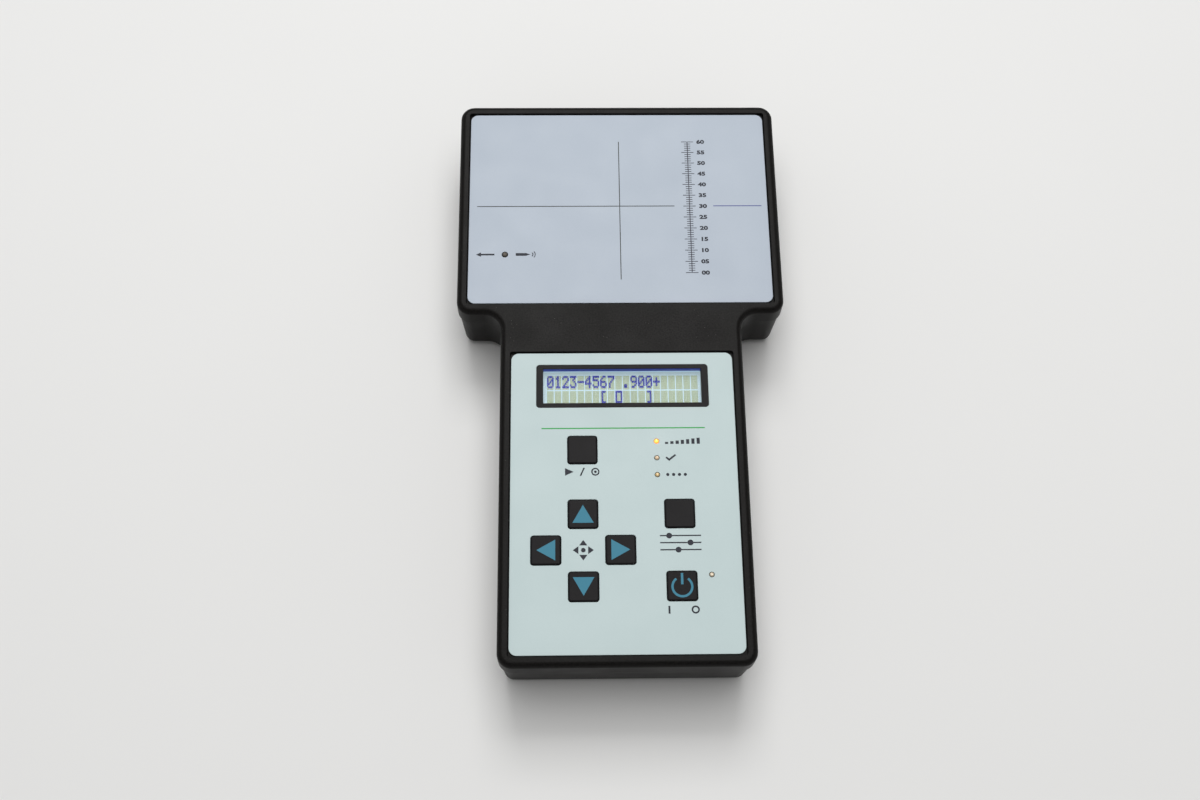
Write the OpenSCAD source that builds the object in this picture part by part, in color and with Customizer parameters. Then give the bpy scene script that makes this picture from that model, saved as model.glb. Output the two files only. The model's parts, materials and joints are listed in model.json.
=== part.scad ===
// Hand-held electronic gold tester: a wide sensor head on a keypad handle.
// X runs across the case, Y from the handle's end (-) to the head's far end (+), Z up.
// The origin is on the table, under the middle of the case.

/* [Case] */
// Width of the sensor head
head_w = 129; // [122:0.5:150]
// Length of the sensor head along the case
head_l = 94.5; // [92:0.5:115]
// Width of the handle
handle_w = 94.2; // [90:0.2:108]
// Length of the handle, from its end to the head
handle_l = 139.5; // [134:0.5:160]
// Height of the closed case, without its feet
case_h = 34; // [34:0.5:42]
// Height of the top cover above the parting line
cover_h = 9.75; // [7:0.25:10]
// Radius of the upright outer corners
corner_r = 5.5; // [5.2:0.1:8]
// Radius of the inner corners where the head meets the handle
step_r = 7; // [4:0.5:9]
// Radius of the rounded edge round the top
rim_r = 2.3; // [1:0.1:3]
// Radius of the rounded edge round the bottom
base_r = 3.5; // [2:0.25:4]
// Lean of the bottom cover's walls, in degrees
draft = 3; // [0:0.25:3.5]
// Step where the top cover overhangs the bottom cover
ledge = 0.5; // [0.2:0.1:0.8]
// Thickness of the bottom cover's walls
wall_t = 2.5; // [2.2:0.1:3]
// Thickness of the bottom cover's floor
base_t = 2.5; // [2.4:0.1:3]
// Thickness of the top cover's skirt, round the lip
skirt_t = 1.8; // [1.4:0.1:2]
// Thickness of the top cover under the sensor plate
top_t = 2; // [1.6:0.1:2.4]
// Height of the lip that lines the covers up
lip_h = 1.4; // [0.8:0.1:2]
// Gap between the lip and the skirt
lip_gap = 0.15; // [0.1:0.05:0.3]

/* [Sensor plate and keypad overlay] */
// Width of the sensor plate
plate_w = 120.5; // [100:0.5:121]
// Length of the sensor plate
plate_l = 86; // [80:0.5:87]
// Thickness of the sensor plate
plate_t = 1; // [0.8:0.1:1.2]
// Distance from the head's far edge to the plate
plate_margin = 4.25; // [4:0.25:5]
// Width of the keypad overlay
overlay_w = 85.5; // [82:0.5:86]
// Length of the keypad overlay
overlay_l = 117.8; // [112:0.2:119]
// Thickness of the keypad overlay
overlay_t = 0.8; // [0.5:0.1:1]
// Distance from the handle's end to the overlay
overlay_margin = 4.4; // [4:0.2:6]
// Corner radius of the plate and the overlay
print_r = 2.9; // [1.5:0.1:5]
// How far the plate and the overlay lie below the rim
print_drop = 0.6; // [0.3:0.1:0.8]
// Gap round the plate and the overlay in their recesses
recess_gap = 0.45; // [0.1:0.05:0.6]
// Corner radius of the two recesses
recess_r = 0.8; // [0.5:0.1:1.5]

/* [Keys] */
// Width of a square key cap
key_w = 11; // [10:0.1:12]
// Corner radius of a key cap
key_r = 1; // [0.6:0.1:2]
// Bevel round a key cap's top
key_bevel = 0.4; // [0.2:0.1:0.5]
// How far a key stands above the overlay
key_rise = 0.5; // [0.3:0.1:1.5]
// How far a key travels
key_travel = 0.5; // [0.2:0.05:0.6]
// Gap between a key and its hole
key_gap = 0.25; // [0.1:0.05:0.3]
// Gap between a key's flange and the cover above it
key_stop_gap = 0.1; // [0.05:0.05:0.2]
// How far a key's flange reaches past its cap
key_flange = 0.8; // [0.6:0.1:1]
// Thickness of a key's flange
key_flange_t = 0.8; // [0.6:0.1:1.2]
// Place of the arrow keys' centre across the handle
pad_x = -15.6; // [-17:0.2:-14]
// Distance from the overlay's near edge to the arrow keys' centre
pad_offset = 38.9; // [38.2:0.1:39.6]
// Distance from that centre to each arrow key
pad_pitch = 13.8; // [13.6:0.1:14.5]
// Distance from the overlay's far edge to the run key
run_offset = 39.8; // [39:0.2:41]
// Place of the mode and power keys across the handle
side_key_x = 20.4; // [19:0.2:22]
// Height of a switch, from its board to its plunger's tip
switch_h = 5; // [4.5:0.1:5.5]
// Height of a switch's square body
switch_body_h = 3.5; // [3:0.1:3.6]
// Width of a switch's square body
switch_w = 6; // [5:0.1:7]
// Radius of a switch's plunger
plunger_r = 1.75; // [1.2:0.05:2]
// Gap round a plunger in its switch
plunger_gap = 0.1; // [0.05:0.05:0.2]

/* [Lamps] */
// Radius of a lamp's lens
lamp_r = 0.95; // [0.7:0.05:1.2]
// Radius of the lamp beside the wand socket's arrow
wand_lamp_r = 1.2; // [0.9:0.05:1.4]
// Gap round a lens in its hole
lamp_gap = 0.08; // [0.05:0.01:0.15]
// Place of the three status lamps across the handle
lamp_x = 12.5; // [11:0.5:14]
// Distance from the overlay's far edge to the first status lamp
lamp_offset = 36.4; // [35.8:0.2:37]
// Distance between the status lamps
lamp_pitch = 6.7; // [5:0.1:7]
// Distance from the power key to its lamp, across the handle
power_lamp_dx = 11; // [10.5:0.1:12]
// Distance from the power key to its lamp, along the handle
power_lamp_dy = 4.2; // [3:0.1:5]
// Distance from the plate's left edge to the wand lamp
wand_lamp_inset = 14.5; // [13:0.1:16]

/* [Display] */
// Width of the black frame round the display window
bezel_w = 66.2; // [60:0.2:68]
// Length of that frame along the handle
bezel_l = 17.8; // [16:0.2:19]
// Corner radius of that frame
bezel_r = 1.3; // [0.8:0.1:2.5]
// Width of the frame's left and right borders
bezel_side = 2.6; // [2:0.1:4]
// Width of the frame's near and far borders
bezel_edge = 1.85; // [1.5:0.05:3]
// Distance from the overlay's far edge to the frame
bezel_offset = 4.8; // [4:0.2:5]
// Thickness of the clear window
window_t = 1; // [0.8:0.1:1.2]
// How far the window reaches past its opening
window_land = 1.6; // [1:0.1:2]
// Width of the display module's metal frame
lcd_w = 68; // [66:0.5:69]
// Length of the display module's metal frame
lcd_l = 21.4; // [21:0.1:21.6]
// Height of the display module above its board
lcd_h = 7.3; // [6.5:0.1:8]
// Thickness of the metal frame's sheet
lcd_sheet_t = 0.5; // [0.4:0.1:0.8]
// Width of the glass that shows through the metal frame
lcd_view_w = 62; // [60:0.5:64]
// Length of the glass that shows through the metal frame
lcd_view_l = 16.2; // [15:0.1:17]
// Thickness of the display glass
lcd_glass_t = 1.8; // [1.4:0.1:2.2]
// Width of the display board
lcd_board_w = 70; // [69:0.5:72]
// Length of the display board
lcd_board_l = 31; // [31:0.5:32]

/* [Boards] */
// Thickness of every board
board_t = 1.6; // [1.2:0.1:2]
// Width of the main board
main_w = 71; // [70:0.5:72]
// Distance from the overlay's far edge to the main board
main_offset = 31.4; // [31:0.2:32]
// Distance from the handle's end to the main board
main_margin = 16.8; // [15:0.2:18]
// Width of the sensor board
sensor_w = 100; // [96:0.5:101]
// Length of the sensor board
sensor_l = 60; // [58:0.5:64]
// Height of the coil's spool, which sets the sensor board's height
spool_h = 8; // [6:0.25:9]
// Radius of the spool's flanges
spool_r = 22; // [18:0.5:24]
// Outer radius of the spool's hub
spool_hub_r = 8; // [6:0.25:10]
// Thickness of the spool's flanges
spool_flange_t = 1.2; // [0.8:0.1:1.6]
// Outer radius of the coil
coil_r = 20.5; // [15:0.5:21.5]
// Outer radius of the posts that carry the boards
post_r = 2.8; // [2.4:0.1:3]
// Outer radius of the slimmer posts that carry the display board
lcd_post_r = 2.1; // [1.9:0.1:2.2]
// Radius of the small screws in those posts
small_screw_r = 1; // [0.8:0.05:1.1]
// Length of the small screws under their heads
small_screw_l = 5; // [4:0.25:6]
// Radius of the small screws' heads
small_head_r = 1.9; // [1.6:0.1:2.1]
// Width of the ribbon cables
ribbon_w = 12.7; // [8:0.1:16]
// Thickness of the ribbon cables
ribbon_t = 0.9; // [0.6:0.1:1.2]
// How far the ribbon cables hang below their headers
ribbon_sag = 3; // [2:0.25:5]
// Height of the ribbon cables' headers
header_h = 2.5; // [2:0.1:3]
// Length of the ribbon cables' headers
header_l = 5; // [4:0.25:6]
// How far a header reaches past its ribbon on each side
header_side = 1.5; // [1:0.1:2]

/* [Battery bay] */
// Radius of a cell
cell_r = 7.1; // [6.8:0.05:7.25]
// Length of a cell with its button
cell_l = 50.5; // [48:0.1:51]
// Distance between neighbouring cells' centre lines
cell_pitch = 14.9; // [14.7:0.1:15.2]
// Gap between the cells and the bay's walls, roof and door
cell_gap = 0.3; // [0.3:0.05:0.5]
// Length of a pressed contact spring
spring_l = 5; // [4:0.1:6]
// Radius of a contact spring at its foot
spring_r = 5; // [4:0.1:5.4]
// Thickness of a contact spring's wall
spring_t = 0.7; // [0.5:0.05:1]
// Thickness of the contact plates
contact_t = 0.4; // [0.3:0.05:0.6]
// Width of a contact plate
contact_w = 11; // [9:0.5:13]
// Thickness of the bay's walls and roof
bay_t = 1.5; // [1.2:0.1:1.8]
// Distance from the handle's end to the bay
bay_offset = 5.3; // [5.1:0.1:5.6]
// Gap round the battery door
door_gap = 0.3; // [0.2:0.05:0.4]
// How far the door's tongues reach into their grooves
tongue_w = 1.5; // [1:0.1:1.8]
// Thickness of the door's tongues
tongue_t = 0.8; // [0.6:0.1:0.9]
// Gap above and below the tongues
tongue_gap = 0.2; // [0.1:0.05:0.25]
// Number of finger ridges on the door
ridge_count = 7; // [3:1:10]

/* [Sockets, screws and feet] */
// Height of the socket centres above the table
socket_z = 15; // [14.5:0.1:15.5]
// Distance from the step to the wand socket, along the head
wand_socket_offset = 25.7; // [25:0.1:40]
// Bore radius of the wand socket
wand_bore_r = 1.8; // [1.3:0.05:2]
// Radius of the wand socket's barrel
wand_barrel_r = 3; // [2.6:0.1:3.5]
// Width of the wand socket's square body
wand_body_w = 10; // [8:0.5:12]
// Depth of the wand socket's bore
wand_bore_l = 14; // [12:0.5:16]
// Place of the power inlet across the head
inlet_x = 30; // [20:1:36]
// Bore radius of the power inlet
inlet_bore_r = 2.85; // [2.6:0.05:3]
// Radius of the power inlet's barrel
inlet_barrel_r = 3.9; // [3.7:0.1:4.2]
// Width of the power inlet's square body
inlet_body_w = 11; // [9:0.5:13]
// Depth of the power inlet's bore
inlet_bore_l = 10; // [9:0.5:11]
// Radius of the power inlet's centre pin
inlet_pin_r = 1.05; // [0.8:0.05:1.2]
// How far a socket's round nut reaches past its barrel
nut_t = 1.3; // [1:0.1:1.6]
// Thickness of a socket's round nut
nut_h = 1.5; // [1.2:0.1:1.6]
// Radius of the case screws
screw_r = 1.45; // [1.2:0.05:1.6]
// Length of the case screws under their heads
screw_l = 10; // [9:0.25:10.5]
// Radius of the case screws' heads
screw_head_r = 2.8; // [2.4:0.1:3]
// Height of the case screws' heads
screw_head_h = 1.8; // [1.4:0.1:2.2]
// Outer radius of the screw columns
column_r = 3.8; // [3.7:0.1:4.2]
// Gap round every screw
screw_gap = 0.1; // [0.05:0.05:0.2]
// Distance from the head's sides to its screws
head_screw_inset_x = 9.5; // [9:0.1:10]
// Distance from the head's near and far edges to its screws
head_screw_inset_y = 12; // [11.5:0.1:13]
// Distance from the handle's sides to its screws
handle_screw_inset_x = 9.1; // [8.8:0.1:9.2]
// Distance from the handle's end to its screws
handle_screw_inset_y = 10; // [9.5:0.1:11]
// Radius of a rubber foot
foot_r = 4; // [3:0.1:4.2]
// How far a foot stands below the case
foot_h = 1.5; // [1:0.1:2]
// How deep a foot is let into the floor
foot_seat = 0.4; // [0.2:0.05:0.5]
// Distance from the head's sides to its feet
head_foot_inset_x = 22; // [18:0.5:30]
// Distance from the handle's sides to its feet
handle_foot_inset_x = 10.5; // [10.4:0.1:10.8]
// Distance from the case's ends to the feet
foot_inset_y = 24; // [22:0.5:30]

/* [Hidden] */
$fn = 48;
CUT = 1;              // how far a cut runs past the face it opens
SINK = 0.4;           // how far a boss runs into the wall that carries it
ARC_STEPS = 8;        // straight pieces in each corner of the case's outline
EDGE_STEPS = 5;       // straight pieces in each rounded edge

// Heights of the main faces
rim_z = foot_h + case_h;
parting_z = rim_z - cover_h;
floor_z = foot_h + base_t;
print_z = rim_z - print_drop;
plate_z = print_z - plate_t;
overlay_z = print_z - overlay_t;
ceiling_z = plate_z - top_t;
flange_z = ceiling_z - key_stop_gap - key_flange_t;
main_top_z = flange_z - switch_h;
window_z = ceiling_z - window_t;
lcd_board_top_z = window_z - lcd_h;
sensor_top_z = ceiling_z - spool_h;

// Places along the case
far_y = (head_l + handle_l) / 2;
near_y = -far_y;
step_y = far_y - head_l;
plate_y = far_y - plate_margin - plate_l / 2;
overlay_far_y = near_y + overlay_margin + overlay_l;
overlay_y = overlay_far_y - overlay_l / 2;
pad_y = overlay_far_y - overlay_l + pad_offset;
bezel_y = overlay_far_y - bezel_offset - bezel_l / 2;
main_l = overlay_far_y - main_offset - near_y - main_margin;
main_y = near_y + main_margin + main_l / 2;
wand_y = step_y + wand_socket_offset;

// Keys: the name of the key and its place
KEYS = [
    ["run", pad_x, overlay_far_y - run_offset],
    ["up", pad_x, pad_y + pad_pitch],
    ["down", pad_x, pad_y - pad_pitch],
    ["left", pad_x - pad_pitch, pad_y],
    ["right", pad_x + pad_pitch, pad_y],
    ["mode", side_key_x, pad_y + pad_pitch],
    ["power", side_key_x, pad_y - pad_pitch]
];

// Lamps on the main board: the name of the lamp and its place
LAMPS = [
    ["upper", lamp_x, overlay_far_y - lamp_offset],
    ["middle", lamp_x, overlay_far_y - lamp_offset - lamp_pitch],
    ["lower", lamp_x, overlay_far_y - lamp_offset - 2 * lamp_pitch],
    ["power", side_key_x + power_lamp_dx, pad_y - pad_pitch + power_lamp_dy]
];
wand_lamp = [-plate_w / 2 + wand_lamp_inset, wand_y];

// Battery bay
cell_count = 4;
bay_half_w = (cell_count - 1) / 2 * cell_pitch + cell_r + cell_gap;
bay_near_y = near_y + bay_offset;
bay_far_y = bay_near_y + 2 * contact_t + spring_l + cell_l;
cell_z = floor_z + cell_gap + cell_r;
roof_z = cell_z + cell_r + cell_gap;
cell_button_l = 1.4;
tongue_z = foot_h + (base_t - tongue_t) / 2;
function cell_x(i) = (i - (cell_count - 1) / 2) * cell_pitch;
function button_far(i) = i % 2 == 0;

// Places of the screws, posts and feet
CASE_SCREWS = [
    for (s = [-1, 1])
        each [
            [s * (head_w / 2 - head_screw_inset_x), far_y - head_screw_inset_y],
            [s * (head_w / 2 - head_screw_inset_x), step_y + head_screw_inset_y],
            [s * (handle_w / 2 - handle_screw_inset_x), near_y + handle_screw_inset_y]
        ]
];
screw_seat_z = parting_z + lip_h + 2.6 - screw_l;
MAIN_POSTS = corners_at(0, main_y, main_w / 2 - post_r - 1, main_l / 2 - post_r - 1);
LCD_POSTS = corners_at(0, bezel_y, lcd_board_w / 2 - lcd_post_r - 1, lcd_board_l / 2 - lcd_post_r);
SENSOR_POSTS = corners_at(0, plate_y, sensor_w / 2 - post_r - 1, sensor_l / 2 - post_r);
FEET = [
    for (s = [-1, 1])
        each [
            [s * (head_w / 2 - head_foot_inset_x), far_y - foot_inset_y],
            [s * (handle_w / 2 - handle_foot_inset_x), near_y + foot_inset_y]
        ]
];

// Sockets: the face that a nut seats on, measured from the middle of the case
socket_pocket = 1.1;
wand_face_x = head_w / 2 - ledge - lean(socket_z) - socket_pocket;
inlet_face_y = far_y - ledge - lean(socket_z) - socket_pocket;

// ---- Shared functions ----

// Points of an arc about a centre, from one angle to another
function arc(cx, cy, r, from, to) = [
    for (i = [0:ARC_STEPS])
        let (a = from + (to - from) * i / ARC_STEPS)
        [cx + r * cos(a), cy + r * sin(a)]
];

// Right half of the case's outline, drawn in by a distance, from the handle's end to the head's far edge
function half_outline(inset) = concat(
    arc(handle_w / 2 - corner_r, near_y + corner_r, corner_r - inset, -90, 0),
    arc(handle_w / 2 + step_r, step_y - step_r, step_r + inset, 180, 90),
    arc(head_w / 2 - corner_r, step_y + corner_r, corner_r - inset, -90, 0),
    arc(head_w / 2 - corner_r, far_y - corner_r, corner_r - inset, 0, 90)
);
function outline(inset) =
    let (half = half_outline(inset), n = len(half))
    concat(half, [for (i = [n - 1:-1:0]) [-half[i][0], half[i][1]]]);

// How far the bottom cover's outer wall leans in at a height
function lean(z) = (parting_z - z) * tan(draft);

// Four places about a centre
function corners_at(x, y, dx, dy) = [for (sx = [-1, 1], sy = [-1, 1]) [x + sx * dx, y + sy * dy]];

// ---- Shared shapes ----

// A solid through the case's outline at several levels, each [height, inset].
// Rows of triangles across the outline close its two ends.
module case_loft(levels) {
    half = len(half_outline(0));
    count = 2 * half;
    last = count * (len(levels) - 1);
    step = 2 * ARC_STEPS + 1;
    points = [for (l = levels) each [for (p = outline(l[1])) [p[0], p[1], l[0]]]];
    sides = [
        for (k = [0:len(levels) - 2], i = [0:count - 1])
            let (a = k * count + i, b = k * count + (i + 1) % count)
            each [[a, a + count, b + count], [a, b + count, b]]
    ];
    rows = [for (i = [0:half - 2]) if (i != step && i != step + 1) [i, i + 1]];
    row_cap = [
        for (r = concat(rows, [[step, step + 2]]))
            let (a = r[0], b = r[1])
            each [[a, b, count - 1 - b], [a, count - 1 - b, count - 1 - a]]
    ];
    step_cap = [[step, step + 1, step + 2], [count - 3 - step, count - 2 - step, count - 1 - step]];
    cap = concat(row_cap, step_cap);
    far_cap = [for (t = cap) [t[2] + last, t[1] + last, t[0] + last]];
    polyhedron(points = points, faces = concat(sides, cap, far_cap), convexity = 8);
}

// A flat piece with rounded corners, centred across and along
module rounded_plate(w, l, r, h) {
    linear_extrude(height = h) rounded_shape(w, l, r);
}

module rounded_shape(w, l, r) {
    square([w - 2 * r, l], center = true);
    square([w, l - 2 * r], center = true);
    for (p = corners_at(0, 0, w / 2 - r, l / 2 - r)) {
        translate(p) circle(r = r);
    }
}

// A block that stands on its height, centred across and along
module block(w, l, h) {
    translate([-w / 2, -l / 2, 0]) cube([w, l, h]);
}

module at_each(places) {
    for (p = places) {
        translate([p[0], p[1], 0]) children();
    }
}

// A hole or bar between two heights
module rod(r, from_z, to_z) {
    translate([0, 0, from_z]) cylinder(r = r, h = to_z - from_z);
}

// Outer shape of the bottom cover, which the battery door shares
module bottom_shape() {
    rounding = [
        for (i = [0:EDGE_STEPS])
            let (a = 90 * i / EDGE_STEPS, z = foot_h + base_r * (1 - cos(a)))
            [z, ledge + lean(z) + base_r * (1 - sin(a))]
    ];
    case_loft(concat(rounding, [[parting_z, ledge]]));
}

// Cuts for the keys and lamps through the overlay or the cover
module keypad_cuts(from_z, to_z) {
    at_each([for (k = KEYS) [k[1], k[2]]]) {
        translate([0, 0, from_z])
            rounded_plate(key_w + 2 * key_gap, key_w + 2 * key_gap, key_r + key_gap, to_z - from_z);
    }
    at_each([for (l = LAMPS) [l[1], l[2]]]) {
        rod(lamp_r + lamp_gap, from_z, to_z);
    }
}

// ---- Covers ----

module top_cover() {
    recess_w = 2 * recess_gap;
    color([0.16, 0.155, 0.15]) difference() {
        union() {
            difference() {
                case_loft(concat(
                    [[parting_z, 0]],
                    [
                        for (i = [0:EDGE_STEPS])
                            let (a = 90 * i / EDGE_STEPS)
                            [rim_z - rim_r + rim_r * sin(a), rim_r * (1 - cos(a))]
                    ]
                ));
                case_loft([[parting_z - CUT, skirt_t], [ceiling_z, skirt_t]]);
            }
            at_each(CASE_SCREWS) rod(column_r, parting_z, ceiling_z + SINK);
            at_each(MAIN_POSTS) rod(post_r, main_top_z, ceiling_z + SINK);
            at_each(LCD_POSTS) rod(lcd_post_r, lcd_board_top_z, ceiling_z + SINK);
            at_each(SENSOR_POSTS) rod(post_r, sensor_top_z, ceiling_z + SINK);
        }
        translate([0, plate_y, plate_z])
            rounded_plate(plate_w + recess_w, plate_l + recess_w, recess_r, rim_z);
        translate([0, overlay_y, overlay_z])
            rounded_plate(overlay_w + recess_w, overlay_l + recess_w, recess_r, rim_z);
        translate([0, bezel_y, ceiling_z - CUT])
            block(bezel_w - 2 * bezel_side + 2, bezel_l - 2 * bezel_edge + 2, rim_z);
        keypad_cuts(ceiling_z - CUT, rim_z);
        at_each([wand_lamp]) rod(wand_lamp_r + lamp_gap, ceiling_z - CUT, rim_z);
        at_each(CASE_SCREWS) rod(screw_r + screw_gap, parting_z - CUT, ceiling_z + SINK);
        post_bores(MAIN_POSTS, main_top_z);
        post_bores(LCD_POSTS, lcd_board_top_z);
        post_bores(SENSOR_POSTS, sensor_top_z);
    }
}

module post_bores(places, from_z) {
    at_each(places) rod(small_screw_r + screw_gap, from_z - CUT, from_z - board_t + small_screw_l + 0.5);
}

module bottom_cover() {
    color([0.15, 0.145, 0.14]) difference() {
        union() {
            difference() {
                union() {
                    bottom_shape();
                    case_loft([
                        [parting_z - CUT, skirt_t + lip_gap],
                        [parting_z + lip_h, skirt_t + lip_gap]
                    ]);
                }
                case_loft([
                    [floor_z, ledge + wall_t + lean(floor_z)],
                    [parting_z, ledge + wall_t],
                    [parting_z + lip_h + CUT, ledge + wall_t]
                ]);
            }
            at_each(CASE_SCREWS) rod(column_r, floor_z - SINK, parting_z);
            battery_bay();
        }
        at_each(CASE_SCREWS) {
            rod(screw_head_r + screw_gap, 0, screw_seat_z);
            rod(screw_r + screw_gap, 0, parting_z + CUT);
        }
        at_each(CASE_SCREWS) rod(column_r + lip_gap, parting_z, rim_z);
        door_cuts();
        at_each(FEET) rod(foot_r, 0, foot_h + foot_seat);
        lead_holes();
        translate([-wand_face_x, wand_y, socket_z]) rotate([0, -90, 0])
            socket_hole(wand_barrel_r);
        translate([inlet_x, inlet_face_y, socket_z]) rotate([-90, 0, 0])
            socket_hole(inlet_barrel_r);
    }
}

// Walls and roof round the cells, standing on the floor
module battery_bay() {
    outer_w = 2 * (bay_half_w + bay_t);
    outer_l = bay_far_y + bay_t - near_y - wall_t;
    difference() {
        translate([0, bay_far_y + bay_t - outer_l / 2, floor_z - SINK])
            block(outer_w, outer_l, roof_z + bay_t - floor_z + SINK);
        translate([0, (bay_near_y + bay_far_y) / 2, floor_z - CUT])
            block(2 * bay_half_w, bay_far_y - bay_near_y, roof_z - floor_z + CUT);
    }
}

// The door's opening and the grooves that its tongues run in, all open at the handle's end
module door_cuts() {
    far = bay_far_y - door_gap;
    cut_l = far - near_y + CUT;
    translate([0, far + door_gap - cut_l / 2, 0])
        block(2 * bay_half_w, cut_l, floor_z + tongue_gap);
    translate([0, far + door_gap + tongue_w - cut_l / 2, tongue_z - tongue_gap])
        block(2 * (bay_half_w + tongue_w + door_gap), cut_l, tongue_t + 2 * tongue_gap);
}

module lead_holes() {
    for (i = [0, cell_count - 1]) {
        translate([cell_x(i), bay_far_y - lead_r, 0]) rod(lead_r + 0.2, roof_z - CUT, roof_z + bay_t + CUT);
    }
}

// A pocket that seats a nut flat, and the hole for the barrel
module socket_hole(barrel_r) {
    translate([0, 0, -2 * wall_t]) cylinder(r = barrel_r + screw_gap, h = 4 * wall_t);
    cylinder(r = barrel_r + nut_t + 0.6, h = 4 * wall_t);
}

module battery_door() {
    half = bay_half_w - door_gap;
    far = bay_far_y - door_gap;
    color([0.15, 0.145, 0.14]) difference() {
        union() {
            intersection() {
                bottom_shape();
                translate([-half, near_y - CUT, 0]) cube([2 * half, far - near_y + CUT, floor_z]);
            }
            translate([0, (bay_near_y + far + tongue_w) / 2, tongue_z])
                block(2 * (half + tongue_w), far + tongue_w - bay_near_y, tongue_t);
        }
        for (i = [0:ridge_count - 1]) {
            translate([0, near_y + 12 + 2.4 * i, 0]) block(24 - i * 1.6, 1.1, foot_h + 0.6);
        }
    }
}

// ---- Plate, overlay and display ----

module sensor_plate() {
    color([0.73, 0.77, 0.82]) difference() {
        translate([0, plate_y, plate_z]) rounded_plate(plate_w, plate_l, print_r, plate_t);
        at_each([wand_lamp]) rod(wand_lamp_r + lamp_gap, plate_z - CUT, rim_z);
    }
}

module keypad_overlay() {
    color([0.77, 0.84, 0.84]) difference() {
        translate([0, overlay_y, overlay_z]) rounded_plate(overlay_w, overlay_l, print_r, overlay_t);
        keypad_cuts(overlay_z - CUT, rim_z);
        translate([0, bezel_y, overlay_z - CUT]) rounded_plate(bezel_w, bezel_l, bezel_r, rim_z);
    }
}

module display_bezel() {
    view_w = bezel_w - 2 * bezel_side;
    view_l = bezel_l - 2 * bezel_edge;
    color([0.13, 0.125, 0.13]) difference() {
        union() {
            translate([0, bezel_y, overlay_z])
                rounded_plate(bezel_w - 0.1, bezel_l - 0.1, bezel_r, overlay_t + 0.15);
            translate([0, bezel_y, ceiling_z]) block(view_w + 1.8, view_l + 1.8, overlay_z - ceiling_z + SINK);
        }
        translate([0, bezel_y, ceiling_z - CUT]) block(view_w, view_l, rim_z);
    }
}

module display_window() {
    land = 2 * window_land;
    color([0.85, 0.9, 0.92, 0.4]) translate([0, bezel_y, window_z])
        block(bezel_w - 2 * bezel_side + land, bezel_l - 2 * bezel_edge + land, window_t);
}

module lcd_frame() {
    inner = 2 * lcd_sheet_t;
    color([0.2, 0.2, 0.22]) translate([0, bezel_y, lcd_board_top_z]) difference() {
        block(lcd_w, lcd_l, lcd_h);
        translate([0, 0, -CUT]) block(lcd_w - inner, lcd_l - inner, lcd_h - lcd_sheet_t + CUT);
        block(lcd_view_w, lcd_view_l, lcd_h + CUT);
    }
}

lcd_glass_z = window_z - lcd_sheet_t - lcd_glass_t;

module lcd_glass() {
    inner = 2 * lcd_sheet_t + 0.2;
    color([0.75, 0.8, 0.72]) translate([0, bezel_y, lcd_glass_z])
        block(lcd_w - inner, lcd_l - inner, lcd_glass_t);
}

module lcd_backlight() {
    inner = 2 * lcd_sheet_t + 0.2;
    color([0.93, 0.95, 0.97]) translate([0, bezel_y, lcd_board_top_z])
        block(lcd_w - inner, lcd_l - inner, lcd_glass_z - lcd_board_top_z);
}

module drilled_board(w, l, y, top_z, posts) {
    difference() {
        translate([0, y, top_z - board_t]) block(w, l, board_t);
        at_each(posts) rod(small_screw_r + screw_gap, top_z - board_t - CUT, top_z + CUT);
    }
}

module lcd_board() {
    color([0.1, 0.35, 0.2])
        drilled_board(lcd_board_w, lcd_board_l, bezel_y, lcd_board_top_z, LCD_POSTS);
}

// ---- Keys, switches and lamps ----

module key_cap(k) {
    wide = key_w + 2 * key_flange;
    top = print_z + key_rise;
    color([0.19, 0.185, 0.185]) translate([k[1], k[2], 0]) {
        hull() {
            translate([0, 0, flange_z + key_flange_t / 2])
                rounded_plate(key_w, key_w, key_r, top - key_bevel - flange_z - key_flange_t / 2, $fn = 32);
            translate([0, 0, top - SINK / 4])
                rounded_plate(key_w - 2 * key_bevel, key_w - 2 * key_bevel, key_r / 2, SINK / 4, $fn = 32);
        }
        translate([0, 0, flange_z]) rounded_plate(wide, wide, key_r, key_flange_t);
    }
}

plunger_dip = key_travel + 0.7;

module plunger(k) {
    color([0.55, 0.16, 0.12]) translate([k[1], k[2], 0])
        rod(plunger_r, main_top_z + switch_body_h - plunger_dip + 0.3, flange_z);
}

module switch_bodies() {
    color([0.12, 0.12, 0.13]) for (k = KEYS) {
        translate([k[1], k[2], 0]) difference() {
            translate([0, 0, main_top_z]) block(switch_w, switch_w, switch_body_h);
            rod(plunger_r + plunger_gap, main_top_z + switch_body_h - plunger_dip - 0.4, ceiling_z);
        }
    }
}

// A lens with a domed tip, a collar and two leads that stand on a board
module lamp(x, y, r, board_z, tint) {
    collar_z = ceiling_z - 2;
    color(tint) translate([x, y, 0]) {
        rotate_extrude() difference() {
            union() {
                translate([0, collar_z]) square([r + 0.4, 0.8]);
                translate([0, collar_z]) square([r, print_z - r / 2 - collar_z]);
                translate([0, print_z - r / 2]) circle(r = r);
            }
            translate([-2 * r, 0]) square([2 * r, rim_z + r]);
        }
        for (s = [-1, 1]) {
            translate([s * r / 2, 0, 0]) rod(0.25, board_z, collar_z + SINK);
        }
    }
}

// ---- Boards and what they carry ----

module main_board() {
    color([0.1, 0.35, 0.2]) drilled_board(main_w, main_l, main_y, main_top_z, MAIN_POSTS);
}

// Sizes of the parts on the boards, in the spacing of their legs: width, length and height
leg_pitch = 1.27;
CHIP = [9.4, 9.4, 1.1] * leg_pitch;
SMALL_CHIP = [4.7, 4, 1.4] * leg_pitch;
CRYSTAL = [9, 3.8, 2.4] * leg_pitch;
INDUCTOR = [5.1, 5.1, 1.9] * leg_pitch;
RESISTOR = [2.5, 1.3, 1] * leg_pitch;
CAPACITOR = [2, 2, 2.4] * leg_pitch;

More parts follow.
